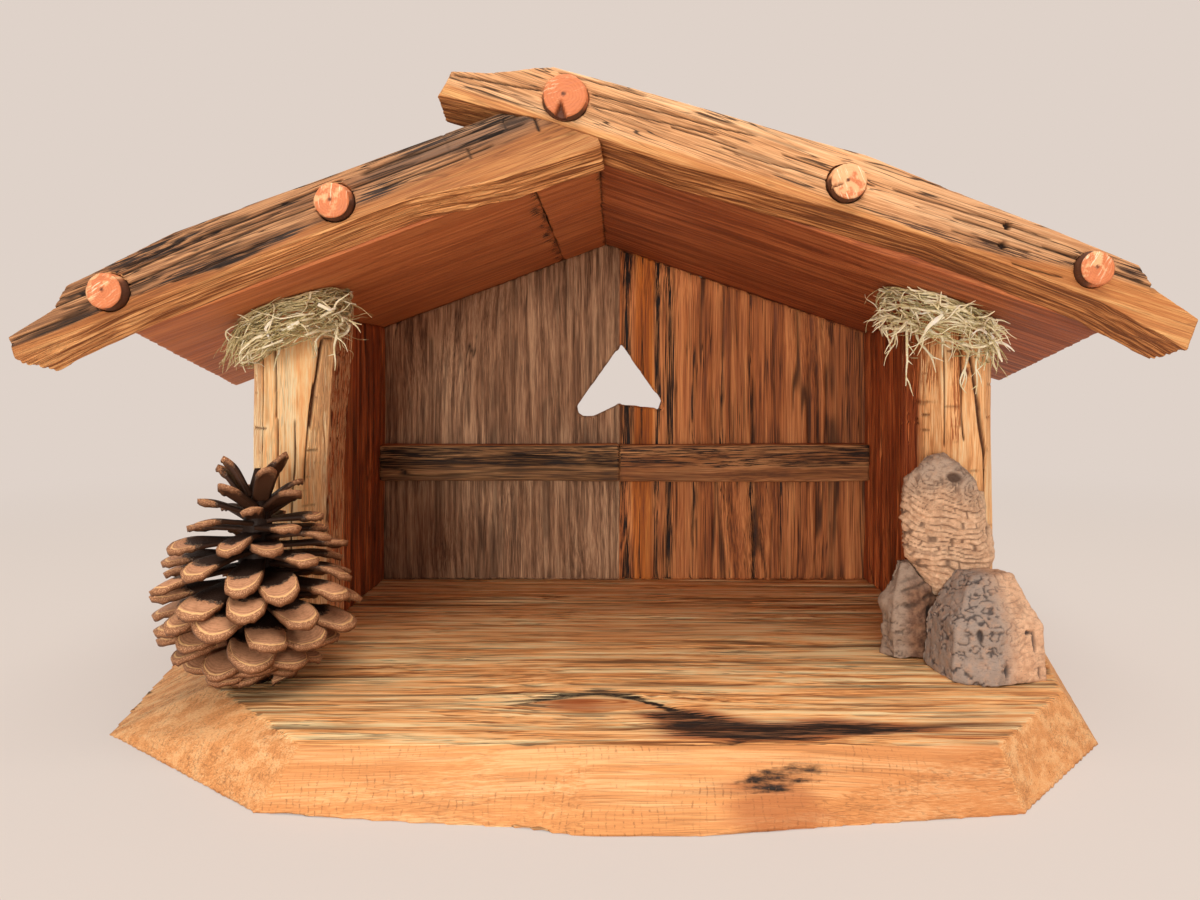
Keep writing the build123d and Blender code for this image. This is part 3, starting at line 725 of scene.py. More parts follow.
leftRoofGrain = woodMaterial("leftRoofGrain", leftRoofLook)
weatheredBoard("roof_board_left", slopeAxes(-1), leftRoofLook, leftRoofGrain, "soffit_board", roofMarks)
weatheredBoard("roof_ridge_strip", slopeAxes(-1), dict(leftRoofLook, seed=107, squeeze=0.6), leftRoofGrain,
               "soffit_board", roofMarks)
weatheredBoard("roof_board_right", slopeAxes(1), rightRoofLook, woodMaterial("rightRoofGrain", rightRoofLook),
               "soffit_board", roofMarks)
print("roof boards weathered")


# Barge boards: the left one grey and charred, the right one golden with two old nail holes
# Places are distance down the slope and height above the soffit line

leftBargeLook = dict(
    boardLook, grid=slicedCopy, cell=0.33, squeeze=0.5, soften=6, seed=151, ridgeLong=70.0, ridgeWide=2.6,
    ridge=0.2, grooveLong=60.0, grooveWide=2.4, grooveDepth=0.3, grooveEdge=0.15, grooveFrom=-0.35,
    splitWide=5.0, splitFrom=0.5, splitEdge=0.04, fine=1.35, stretch=55.0, rough=(0.6, 0.88), torn=0.45,
    thin=0.6, hairs=1.3, aged=[(0.12, (104, 70, 47)), (0.5, (162, 113, 76)), (0.88, (206, 153, 108))],
    cut=[(0.1, (150, 87, 43)), (0.5, (184, 118, 66)), (0.88, (212, 154, 96))],
    under=[(0.1, (140, 84, 46)), (0.5, (216, 146, 88)), (0.9, (250, 190, 126))], patch=(150, 104, 72),
    heart=(128, 104, 88), soot=(60, 44, 36), split=(24, 16, 12),
    band=[(0, 9.0), (45, 7.0), (75, 5.0), (100, 3.4), (118, 4.6), (130, 5.0), (150, 2.6), (170, 4.0)],
    greyed=((24, 15.0), (34, 5.0)),
    cracks=[(66, 110, 14.5, 12.9, 0.3), (100, 131, 13.2, 10.8, 0.4), (74, 107, 10.4, 9.5, 0.22),
            (100, 131, 9.8, 7.7, 0.3), (90, 118, 6.0, 4.4, 0.2), (139, 150, 9.4, 9.3, 0.35),
            (140, 163, 6.0, 5.2, 0.25), (10, 62, 14.2, 14.0, 0.3), (16, 66, 11.4, 11.0, 0.25),
            (26, 58, 8.8, 8.4, 0.2), (84, 104, 12.0, 11.4, 0.2), (110, 128, 14.0, 12.4, 0.25)],
    checks=[(10.5, 17.0, 38.0), (7.5, 10.5, 33.0), (11.0, 15.0, 22.0), (8.0, 12.0, 14.0),
            (12.0, 16.5, 52.0)],
    char=[((107, 4.6), (13, 1.5)), ((86, 5.8), (14, 1.3)), ((142, 3.6), (15, 1.5)),
          ((118, 14.0), (16, 1.8)), ((58, 8.0), (9, 2.4)), ((30, 15.5), (24, 1.6)), ((66, 4.6), (9, 1.4))],
)
rightBargeLook = dict(
    leftBargeLook, seed=171, splitFrom=0.6, blotch=0.2, grooveFrom=0.0, lines=0.45, thin=0.45, hairs=2.0,
    brown=0.35, aged=[(0.12, (176, 120, 76)), (0.5, (222, 165, 116)), (0.88, (244, 197, 150))],
    cut=[(0.1, (172, 102, 52)), (0.5, (198, 132, 76)), (0.88, (222, 168, 108))],
    # The underside tones are the sawn underside's own brown, darkened further as painted shade
    under=[(0.1, (112, 64, 33)), (0.5, (156, 95, 51)), (0.9, (208, 144, 87))], patch=(212, 152, 100),
    heart=(170, 118, 82), soot=(92, 62, 44), split=(46, 28, 18),
    band=[(-45, 1.0), (0, 2.4), (50, 5.6), (75, 5.0), (95, 4.6), (119, 7.2), (130, 8.6), (140, 9.6),
          (150, 10.4), (160, 20.0)],
    greyed=((-22, 4.0), (5, 1.0)),
    cracks=[(76, 120, 12.8, 13.6, 0.25), (93, 130, 10.8, 11.3, 0.35), (118, 130, 11.1, 11.3, 0.5),
            (94, 116, 7.3, 8.5, 0.25), (137, 152, 11.3, 10.6, 0.45), (-42, -18, 4.5, 7.9, 0.4),
            (-7, 39, 11.2, 14.5, 0.3), (-6, 29, 8.2, 11.9, 0.3), (16, 35, 9.8, 9.9, 0.25),
            (30, 62, 9.0, 9.6, 0.25), (46, 72, 12.0, 12.2, 0.25), (-16, 8, 13.4, 15.2, 0.25),
            (112, 126, 4.9, 5.4, 0.3)],
    checks=[],
    char=[((74, 4.5), (16, 0.9)), ((96, 5.6), (15, 1.1)), ((115, 7.8), (12, 1.1)), ((142, 13.2), (6, 1.7)),
          ((128, 9.4), (6, 1.0))],
    nails=[(107.9, 13.5), (108.6, 8.3)], nailRadius=0.85,
)


def bargeMarks(side, look):
    def marks(places, facing, board):
        down, up = slopePlace(places, side)
        streaks = unevenness(board, (24.0, 2.6, 6.0), 3, look["seed"] + 11)
        band = np.interp(down, *zip(*look["band"]))
        fresh = 1 - softStep(band - 0.7, band + 1.2, up + 0.8 * streaks)
        below = softStep(0.3, 0.8, -facing[:, 2])
        char = sum(spot(down, up, *blot) for blot in look["char"])
        stain = softStep(0.1, 0.9, char + 0.3 * streaks) * (1 - 0.8 * fresh) * (1 - below)
        grey = softStep(0.25, 0.7, spot(down, up, *look["greyed"]) + 0.3 * streaks) * (1 - fresh)
        lines = [(*line[:4], look["thin"] * line[4]) for line in look["cracks"]]
        crack = drawnCracks(down, up, lines, look["seed"])
        across = [(start, end, level, level, 0.15) for start, end, level in look["checks"]]
        crack = np.maximum(crack, drawnCracks(up, down, across, look["seed"] + 1)) * (1 - below)
        torn = unevenness(board, (18.0, 1.1, 1.1), 2, look["seed"] + 13)
        offset = look["torn"] * torn * below - 0.25 * stain
        for nailDown, nailUp in look.get("nails", []):
            reach = np.hypot(down - nailDown, up - nailUp)
            hole = 1 - softStep(look["nailRadius"], look["nailRadius"] + 0.35, reach)
            hole = hole * softStep(0.3, 0.7, -facing[:, 1])
            crack = np.maximum(crack, hole)
            offset = offset - 1.6 * hole
        grey = np.maximum(0.45 * grey, look.get("brown", 0.0) * softStep(60.0, 95.0, down) * (1 - fresh))
        return dict(crack=crack, stain=0.85 * stain, heart=grey, fresh=fresh, below=below, offset=offset)
    return marks


for nodeName, side, look, slotName in (("barge_board_left", -1, leftBargeLook, "charred_barge"),
                                       ("barge_board_right", 1, rightBargeLook, "tan_barge")):
    weatheredBoard(nodeName, slopeAxes(side), look, woodMaterial(nodeName + "Grain", look), slotName,
                   bargeMarks(side, look))
print("barge boards weathered")


# Pegs: end grain in salmon and cream, scratches one way, a dark side of bark
# bark, scratch and split are angles in degrees, cream is the pale share

pegLook = dict(
    voxel=0.42, rough=0.16, rounding=0.35, cutDepth=2.2,
    salmon=(210, 122, 74), cream=(234, 180, 130), ringTone=(194, 106, 62),
    scratchTone=(250, 220, 184), rim=(86, 48, 28), core=(96, 48, 22),
    cleft=dict(apex=(-0.18, -0.2), left=-0.25, right=0.18, drop=0.55),
)
pegs = dict(
    peg_left_eave=dict(seed=201, bark=-30, scratch=35, cream=0.3),
    peg_left_mid=dict(seed=207, bark=-60, scratch=85, cream=0.35),
    peg_ridge=dict(seed=213, bark=-100, scratch=20, cream=0.05),
    peg_right_mid=dict(seed=219, bark=-110, scratch=110, cream=0.8, split=200),
    peg_right_eave=dict(seed=225, bark=185, scratch=60, cream=0.35),
)


def pegMaterial():
    material, tree, shader = freshMaterial("pegEndGrain")
    where = wire(tree, "ShaderNodeAttribute", attribute_name="grainPlace").outputs["Vector"]
    mottle = speckle(tree, where, 0.4, 3.0)
    ringPlace = plus(tree, maskOf(tree, "reach"), times(tree, mottle, 0.2))
    rings = reckon(tree, "SINE", times(tree, ringPlace, 46.0))
    shade = blendTones(tree, spread(tree, rings, -0.4, 1.0, 0.0, 0.4), pegLook["salmon"], pegLook["ringTone"])
    pale = plus(tree, maskOf(tree, "cream"), spread(tree, mottle, 0.3, 0.7, -0.4, 0.4))
    shade = blendTones(tree, spread(tree, pale, 0.4, 0.75, 0.0, 0.85), shade, pegLook["cream"])
    scratches = speckle(tree, where, (0.22, 1.9, 1.0), 3.0, 0.6)
    paleShare = spread(tree, maskOf(tree, "cream"), 0.0, 0.5, 0.15, 0.9)
    scored = times(tree, spread(tree, scratches, 0.57, 0.68), paleShare)
    shade = blendTones(tree, scored, shade, pegLook["scratchTone"])
    shade = blendTones(tree, spread(tree, scratches, 0.42, 0.32, 0.0, 0.5), shade, pegLook["ringTone"])
    shade = blendTones(tree, maskOf(tree, "bark"), shade, pegLook["rim"])
    shade = blendTones(tree, maskOf(tree, "crack"), shade, pegLook["core"])
    paint(tree, shader, shade, spread(tree, scratches, 0.3, 0.7, 0.5, 0.8))
    bumped(tree, shader, plus(tree, scratches, times(tree, rings, 0.08)), 0.5, 0.4)
    return material


pegGrain = pegMaterial()


# Parts of an offset along and across a direction in degrees
def turned(offX, offZ, angle):
    turn = math.radians(angle)
    return offX * math.cos(turn) + offZ * math.sin(turn), offZ * math.cos(turn) - offX * math.sin(turn)


def carvedPeg(nodeName, peg):
    mesh = griddedCopy(nodeName, uprightAxes, pegLook["voxel"])
    places, facing = readShape(mesh)
    low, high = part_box(nodeName)
    middle = (np.array(low) + np.array(high)) / 2 / mm
    radius = (high.x - low.x) / 2 / mm
    offX, offZ = (places[:, 0] - middle[0]) / radius, (places[:, 2] - middle[2]) / radius
    reach = np.hypot(offX, offZ)
    front = softStep(low.y / mm + 2.2, low.y / mm + 0.8, places[:, 1])
    rough = unevenness(places, 2.6, 3, peg["seed"])
    toBark = turned(offX, offZ, peg["bark"])[0]
    side = softStep(0.8, 0.4, np.abs(facing[:, 1]))
    bark = side * softStep(-0.1, 0.5, toBark + 0.25 * rough)
    crack = softStep(0.13, 0.07, np.hypot(offX + 0.07, offZ - 0.06)) * front
    if "split" in peg:
        along, aside = turned(offX, offZ, peg["split"])
        cut = softStep(0.3, 0.4, along) * softStep(0.03 + 0.05 * along, 0.01, np.abs(aside))
    else:
        cut = np.zeros(len(places))
    if nodeName == "peg_ridge":
        cleft = pegLook["cleft"]
        apexX, apexZ = cleft["apex"]
        fall = np.clip((apexZ - offZ) / cleft["drop"], 0, 1.4)
        inside = np.minimum(offX - apexX - cleft["left"] * fall, apexX + cleft["right"] * fall - offX)
        cut = softStep(-0.03, 0.04, inside) * (fall > 0)
    places[:, 1] += pegLook["cutDepth"] * cut * front
    crack = np.maximum(crack, cut)
    offset = pegLook["rough"] * rough - pegLook["rounding"] * front * softStep(0.82, 1.0, reach)
    places += facing * offset[:, None]
    across = np.stack(turned(offX, offZ, peg["scratch"]), 1)
    ownPlace = np.full(len(places), 1.7 * peg["seed"])
    storePlaces(mesh, "grainPlace", np.column_stack([across * radius, ownPlace]))
    cream = peg["cream"] + 0.25 * (offZ - offX)
    storeShape(mesh, places, dict(bark=bark, reach=reach, crack=crack, cream=cream))
    mount(nodeName + "Wood", mesh, pegGrain, "peg_wood", nodeName)


for nodeName, peg in pegs.items():
    carvedPeg(nodeName, peg)
print("pegs carved")


# Pine cone: fan shaped scales on a spiral, dark necks partly in painted shade, pale ringed tips that bend
# down, a golden lip painted along each rim as a highlight
# Levels run from 0 at the foot to 1 at the top, sizes are millimetres, angles degrees

coneLook = dict(
    middle=(-106.0, -42.7), foot=15.3, height=70.0, count=90, spiral=137.508, seed=9, rows=13, columns=8,
    rootLow=4.0, rootHigh=56.0, coreLow=6.0, coreHigh=1.5, reach=30.4, reachFrom=0.13, reachOver=0.77,
    lifts=((0.0, 0.3, 0.5, 0.65, 0.8, 0.9, 1.0), (-9, -5, -3, -1, 4, 22, 72)), longest=34.0, shortest=14.5,
    recurve=25.0, tipWidth=13.4, slimming=0.62, neckWidth=8.0, bow=0.3, thick=1.3, ragged=0.7, tanLow=14.0,
    # lip is a painted highlight colour for the rounded rim of each scale
    tanHigh=1.5, clear=0.4, tip=(206, 150, 112), ringTone=(136, 86, 56), lip=(248, 198, 136),
    # neck is the dark inner wood of a scale, darkened further as painted shade under the scale above
    bract=(138, 90, 60), neck=(44, 28, 20), under=(84, 52, 34), wing=(206, 176, 150),
)


def coneProfile(lift, recurve, steps=24):
    angles = [math.radians(lift - recurve * float(softStep(0.45, 1.0, k / steps))) for k in range(steps)]
    out = np.concatenate([[0.0], np.cumsum(np.cos(angles))]) / steps
    rise = np.concatenate([[0.0], np.cumsum(np.sin(angles))]) / steps
    return np.linspace(0, 1, steps + 1), out, rise


def shapeScale(verts, layers, level, number, draw):
    look = coneLook
    lift = float(np.interp(level, *look["lifts"])) + draw.uniform(-5, 5)
    share, out, rise = coneProfile(lift, look["recurve"] + draw.uniform(-8, 10))
    core = look["coreLow"] + (look["coreHigh"] - look["coreLow"]) * level
    swell = math.sin(math.pi * (look["reachFrom"] + look["reachOver"] * level))
    reach = look["reach"] * swell * draw.uniform(0.94, 1.03)
    most = look["longest"] + (look["shortest"] - look["longest"]) * float(softStep(0.55, 1.0, level))
    length = min((reach - core) / out[-1], most)
    half = 0.5 * look["tipWidth"] * (1 - look["slimming"] * level ** 1.5) * draw.uniform(0.88, 1.1)
    neck = 0.5 * look["neckWidth"] * (1 - 0.4 * level)
    cup = draw.uniform(-0.32, 0.12)
    tilt = math.tan(math.radians(draw.uniform(-13, 13)))
    tan = look["tanLow"] + (look["tanHigh"] - look["tanLow"]) * level
    for vert in verts:
        along, across = vert.co.x + 0.5, 2 * vert.co.y
        fan = float(softStep(0.05, 0.8, along))
        wide = (neck + (half - neck) * fan) * (1 - 0.1 * float(softStep(0.86, 1.0, along)))
        bowed = max(0.0, along - look["bow"] * 2 * half / length * fan * across ** 2)
        hollow = cup * half * across ** 2 + tilt * wide * across
        lifted = length * float(np.interp(bowed, share, rise)) + fan * hollow
        vert[layers["fromTip"]] = (1 - along) * length
        vert[layers["tan"]] = float(softStep(tan + 3.0, tan - 3.0, (1 - along) * length))
        vert[layers["edge"]] = fan * max(abs(across), along)
        vert[layers["shade"]] = number * 0.618 % 1.0
        vert.co = Vector((core + length * float(np.interp(bowed, share, out)), across * wide, lifted))


def coneScales():
    blank = bmesh.new()
    bmesh.ops.create_grid(blank, x_segments=coneLook["rows"], y_segments=coneLook["columns"], size=0.5)
    flat = meshFrom(blank, "coneScaleBlank")
    draw = random.Random(coneLook["seed"])
    bm = bmesh.new()
    layers = {name: bm.verts.layers.float.new(name) for name in ("fromTip", "tan", "edge", "shade", "under")}
    middle = coneLook["middle"]
    for number in range(coneLook["count"]):
        level = (number + 0.5) / coneLook["count"]
        known = len(bm.verts)
        bm.from_mesh(flat)
        bm.verts.ensure_lookup_table()
        verts = bm.verts[known:]
        shapeScale(verts, layers, level, number, draw)
        root = coneLook["foot"] + coneLook["rootLow"] + (coneLook["rootHigh"] - coneLook["rootLow"]) * level
        turn = math.radians(coneLook["spiral"] * number + draw.uniform(-6, 6))
        place = Matrix.Translation((*middle, root)) @ Matrix.Rotation(turn, 4, "Z")
        bmesh.ops.transform(bm, matrix=place, verts=verts)
    for face in bm.faces:
        face.normal_update()
        if face.normal.z < 0:
            face.normal_flip()
    bmesh.ops.solidify(bm, geom=list(bm.faces), thickness=coneLook["thick"])
    bm.normal_update()
    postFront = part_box("left_post")[0].y / mm
    for vert in bm.verts:
        vert[layers["under"]] = 1.0 if vert.normal.z < -0.15 else 0.0
        if vert[layers["edge"]] > 0.97 and vert.normal.z < 0.0:
            vert.co.z -= draw.uniform(0.0, coneLook["ragged"])
        vert.co.z = max(vert.co.z, coneLook["foot"] + coneLook["clear"])
        vert.co.y = min(vert.co.y, postFront - coneLook["clear"])
    bmesh.ops.transform(bm, matrix=Matrix.Scale(mm, 4), verts=bm.verts)
    return meshFrom(bm, "coneScales")


def coneCore():
    bm = bmesh.new()
    rings = [(0.0, 0.5), (0.08, 1.0), (0.3, 1.1), (0.6, 0.8), (0.8, 0.45), (0.9, 0.14)]
    spine = []
    for rise, width in rings:
        spine.append(bm.verts.new((coneLook["coreLow"] * width * mm, 0, coneLook["height"] * rise * mm)))
    edges = [bm.edges.new(pair) for pair in zip(spine, spine[1:])]
    bmesh.ops.spin(bm, geom=spine + edges, cent=(0, 0, 0), axis=(0, 0, 1), angle=2 * math.pi, steps=20,
                   use_merge=True)
    bmesh.ops.holes_fill(bm, edges=[edge for edge in bm.edges if edge.is_boundary], sides=0)
    bmesh.ops.recalc_face_normals(bm, faces=bm.faces)
    bmesh.ops.translate(bm, vec=Vector((*coneLook["middle"], coneLook["foot"])) * mm, verts=bm.verts)
    return meshFrom(bm, "coneCore")


def coneMaterial():
    material, tree, shader = freshMaterial("coneScaleWood")
    where = objectPlace(tree)
    mottle = speckle(tree, where, 0.7, 5.0, 0.65)
    grit = speckle(tree, where, 3.0, 3.0, 0.6)
    fromTip = plus(tree, maskOf(tree, "fromTip"), times(tree, mottle, 0.7))
    rings = reckon(tree, "SINE", times(tree, fromTip, 6.6))
    ringed = times(tree, spread(tree, rings, -0.2, 0.9), spread(tree, fromTip, 0.8, 5.5, 0.75, 0.1))
    tip = blendTones(tree, ringed, coneLook["tip"], coneLook["ringTone"])
    tip = blendTones(tree, spread(tree, mottle, 0.42, 0.75, 0.0, 0.55), tip, coneLook["ringTone"])
    tinted = spread(tree, maskOf(tree, "shade"), 0.0, 1.0, 0.0, 0.35)
    tip = blendTones(tree, tinted, tip, coneLook["ringTone"])
    edge = plus(tree, maskOf(tree, "edge"), spread(tree, mottle, 0.3, 0.7, -0.006, 0.006))
    # The golden lip along each rim is a painted highlight
    tip = blendTones(tree, spread(tree, edge, 0.915, 0.93, 0.0, 0.8), tip, coneLook["lip"])
    rim = blendTones(tree, spread(tree, grit, 0.46, 0.62), coneLook["bract"], coneLook["tip"])
    tip = blendTones(tree, spread(tree, edge, 0.935, 0.955, 0.0, 0.95), tip, rim)
    # Behind the tan tip the dark neck: darker wood plus painted shade where the scale above covers it
    tan = plus(tree, maskOf(tree, "tan"), spread(tree, mottle, 0.3, 0.7, -0.22, 0.22))
    shade = blendTones(tree, spread(tree, tan, 0.36, 0.64), coneLook["neck"], tip)
    off = awayFrom(tree, tan, 0.34)
    shade = blendTones(tree, spread(tree, off, 0.0, 0.05, 0.4, 0.0), shade, coneLook["wing"])
    shade = blendTones(tree, times(tree, maskOf(tree, "under"), 0.8), shade, coneLook["under"])
    paint(tree, shader, shade, spread(tree, grit, 0.3, 0.7, 0.42, 0.72))
    shader.inputs["Specular IOR Level"].default_value = 0.2
    bumped(tree, shader, plus(tree, grit, times(tree, ringed, -0.5)), 0.4, 0.3)
    return material


coneWood = coneMaterial()
mount("coneScales", coneScales(), coneWood, "cone_wood", "pine_cone")
mount("coneCore", coneCore(), coneWood, "cone_wood")
print("pine cone opened")


# Lichen tufts: strands wound round the post top like a nest, loose ends, forked pale branches and flat lobes
# Sizes are millimetres; hang gives where single strands come down: side, top and drop

lichenLook = dict(
    strandRadius=0.28, strandStep=2.4, branchRadius=0.44, branchStep=2.8, lobeWidth=0.45, clear=0.7,
    deep=13.0, lobeThick=0.25,
    olive=(170, 154, 98), straw=(228, 214, 164), cream=(250, 242, 210), white=(248, 243, 234),
)
tufts = dict(
    moss_left=dict(
        post="left_post", seed=5, strands=360, loose=0.16, branches=46, forks=1, lobes=3, fringe=-1,
        hang=[(-120.5, 118.0, 11.0), (-90.0, 124.0, 16.0), (-116.0, 121.0, 9.0)]),
    moss_right=dict(
        post="right_post", seed=14, strands=170, loose=0.3, branches=70, forks=2, lobes=5, fringe=1,
        hang=[(94.5, 122.0, 20.0), (97.5, 120.0, 17.0), (117.5, 124.0, 25.0), (121.0, 121.0, 14.0)]),
)


def soffitHeight(x):
    pitch = roofLine["leftPitch"] if x < roofLine["ridgeX"] else roofLine["rightPitch"]
    return roofLine["ridgeZ"] - abs(x - roofLine["ridgeX"]) * math.tan(math.radians(pitch))


# Strands stay below the soffit and outside the post
def kept(point, post):
    low, high = post
    point.z = min(point.z, soffitHeight(point.x) - lichenLook["clear"])
    inside = low.x - 0.5 < point.x < high.x + 0.5 and point.y > low.y - 0.5
    if inside and point.z < soffitHeight(point.x) - 4.0:
        if point.y - low.y < min(point.x - low.x, high.x - point.x):
            point.y = low.y - 0.6
        elif point.x - low.x < high.x - point.x:
            point.x = low.x - 0.6
        else:
            point.x = high.x + 0.6
    return point


def strandPath(draw, start, heading, steps, step, wander, droop, post):
    path = [kept(start.copy(), post)]
    for _ in range(steps):
        jitter = Vector((draw.gauss(0, 1), draw.gauss(0, 1), draw.gauss(0, 1)))
        heading = (heading + wander * jitter + Vector((0, 0, -droop))).normalized()
        path.append(kept(path[-1] + step * heading, post))
    return path


def strandCurve(name, paths, radius, sides=0, ribbon=0.0):
    curve = bpy.data.curves.new(name, "CURVE")
    curve.dimensions = "3D"
    curve.bevel_depth = radius * mm
    curve.bevel_resolution = sides
    curve.extrude = ribbon * mm
    curve.resolution_u = 2
    for path, width in paths:
        spline = curve.splines.new("NURBS")
        spline.points.add(len(path) - 1)
        for number, (point, place) in enumerate(zip(spline.points, path)):
            point.co = (*(place * mm), 1.0)
            point.radius = width * (1.0 - 0.75 * (number / (len(path) - 1)) ** 1.6)
        spline.order_u = 3
        spline.use_endpoint_u = True
    return settledMesh(placed(name, curve))


def lichenMaterial(name, dark, light, high):
    material, tree, shader = freshMaterial(name)
    where = objectPlace(tree)
    patch = speckle(tree, where, 0.3, 3.0)
    fleck = speckle(tree, where, 1.6, 4.0, 0.7)
    shade = blendTones(tree, spread(tree, patch, 0.35, 0.65), dark, light)
    shade = blendTones(tree, spread(tree, fleck, 0.5, 0.72), shade, high)
    paint(tree, shader, shade, spread(tree, fleck, 0.3, 0.7, 0.7, 0.95))
    bumped(tree, shader, fleck, 0.5, 0.2)
    return material


strandLichen = lichenMaterial("strandLichen", lichenLook["olive"], lichenLook["straw"], lichenLook["cream"])
branchLichen = lichenMaterial("branchLichen", lichenLook["straw"], lichenLook["cream"], lichenLook["white"])
lobeLichen = lichenMaterial("lobeLichen", lichenLook["cream"], lichenLook["white"], lichenLook["white"])


def growTuft(nodeName, tuft):
    look = lichenLook
    draw = random.Random(tuft["seed"])
    low, high = (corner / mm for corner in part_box(nodeName))
    post = tuple(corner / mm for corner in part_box(tuft["post"]))
    wide, deep = 0.46 * (high.x - low.x), 0.58 * (high.y - low.y)
    middle = Vector(((low.x + high.x) / 2, low.y + deep, 0))

    def onNest(turn, out, drop):
        x = middle.x + wide * out * math.cos(turn)
        return Vector((x, middle.y + deep * out * math.sin(turn), soffitHeight(x) - look["clear"] - drop))

    # a strand follows the nest round, wandering in and out
    def woundPath(steps, step):
        turn = draw.uniform(-math.pi - 0.5, 0.5)
        way = draw.choice((-1, 1))
        out = 0.55 + 0.42 * math.sqrt(draw.random())
        drop = look["deep"] * draw.random() ** 1.4
        slope = draw.gauss(0, 0.55)
        path = []
        for _ in range(steps):
            path.append(kept(onNest(turn, out, drop), post))
            turn += way * step / (0.5 * (wide + deep) * out)
            out = min(1.0, max(0.5, out + draw.gauss(0, 0.05)))
            drop = min(look["deep"] + 1.5, max(0.0, drop + slope + draw.gauss(0, 0.45)))
        return path

    def looseEnd(path, steps, step, droop, wander):
        away = Vector((path[-1].x - middle.x, path[-1].y - middle.y, draw.uniform(-8, 6))).normalized()
        heading = ((path[-1] - path[-2]).normalized() + 0.7 * away).normalized()
        return path + strandPath(draw, path[-1], heading, steps, step, wander, droop, post)[1:]

    fine = []
    for _ in range(tuft["strands"]):
        path = woundPath(draw.randint(4, 8), look["strandStep"])
        if draw.random() < tuft["loose"]:
            path = looseEnd(path, draw.randint(2, 4), look["strandStep"], 0.12, 0.32)
        fine.append((path, draw.uniform(0.55, 1.2)))
    for _ in range(tuft["strands"] // 9):               # a fringe that hangs at the outer side
        turn = draw.uniform(-1.0, 0.1) if tuft["fringe"] > 0 else draw.uniform(-math.pi - 0.1, -math.pi + 1.0)
        start = onNest(turn, draw.uniform(0.85, 1.0), draw.uniform(1, 8))
        heading = Vector((0.3 * tuft["fringe"], -0.3, -0.5)).normalized()
        path = strandPath(draw, start, heading, draw.randint(3, 5), look["strandStep"], 0.25, 0.3, post)
        fine.append((path, draw.uniform(0.5, 1.0)))
    strands = strandCurve(nodeName + "Fine", fine, look["strandRadius"])
    mount(nodeName + "Strands", strands, strandLichen, "lichen", nodeName)

    branched = []
    for _ in range(tuft["branches"]):
        wound = woundPath(draw.randint(2, 6), look["branchStep"])
        stem = looseEnd(wound, draw.randint(2, 4), look["branchStep"], 0.1, 0.5)
        branched.append((stem, draw.uniform(0.6, 1.4)))
        for _ in range(tuft["forks"]):
            joint = draw.randint(1, len(stem) - 2)
            swerve = Vector((draw.gauss(0, 1.6), draw.gauss(-0.4, 1.0), draw.gauss(-0.3, 1.6)))
            heading = (stem[joint + 1] - stem[joint] + swerve).normalized()
            twigStep = 0.8 * look["branchStep"]
            twig = strandPath(draw, stem[joint], heading, draw.randint(2, 4), twigStep, 0.35, 0.1, post)
            branched.append((twig, draw.uniform(0.45, 0.85)))
    for x, top, drop in tuft["hang"]:
        start = Vector((x, low.y + 0.45 * (high.y - low.y), top))
        strand = strandPath(draw, start, Vector((0.05, -0.1, -1)), round(drop / 2.8), 2.8, 0.26, 0.4, post)
        branched.append((strand, 1.15))
        for joint in range(2, len(strand) - 1, 2):
            heading = Vector((draw.choice((-1, 1)) * 0.8, -0.2, -0.6))
            twig = strandPath(draw, strand[joint], heading, draw.randint(1, 3), 2.2, 0.3, 0.2, post)
            branched.append((twig, 0.6))
    forked = strandCurve(nodeName + "Forked", branched, look["branchRadius"], 1)
    mount(nodeName + "Branches", forked, branchLichen, "lichen")

    flats = []
    for _ in range(tuft["lobes"]):
        start = onNest(draw.uniform(-2.6, -0.5), draw.uniform(0.85, 1.0), draw.uniform(2, 9))
        heading = Vector((draw.uniform(-1, 1), -0.2, draw.uniform(-1, 0.2))).normalized()
        flats.append((strandPath(draw, start, heading, 4, 2.4, 0.4, 0.15, post), draw.uniform(0.6, 1.3)))
    flat = strandCurve(nodeName + "Flat", flats, look["lobeThick"], 1, look["lobeWidth"])
    mount(nodeName + "Lobes", flat, lobeLichen, "lichen")


for nodeName, tuft in tufts.items():
    growTuft(nodeName, tuft)
print("lichen tufts grown")


# Driftwood and bark: worn growth rings round a heart (side, height), cross checks, scribbled grey weathering
# Lengths are millimetres; greyBelow is the side up to which the face is greyed, rot gives dark soft spots

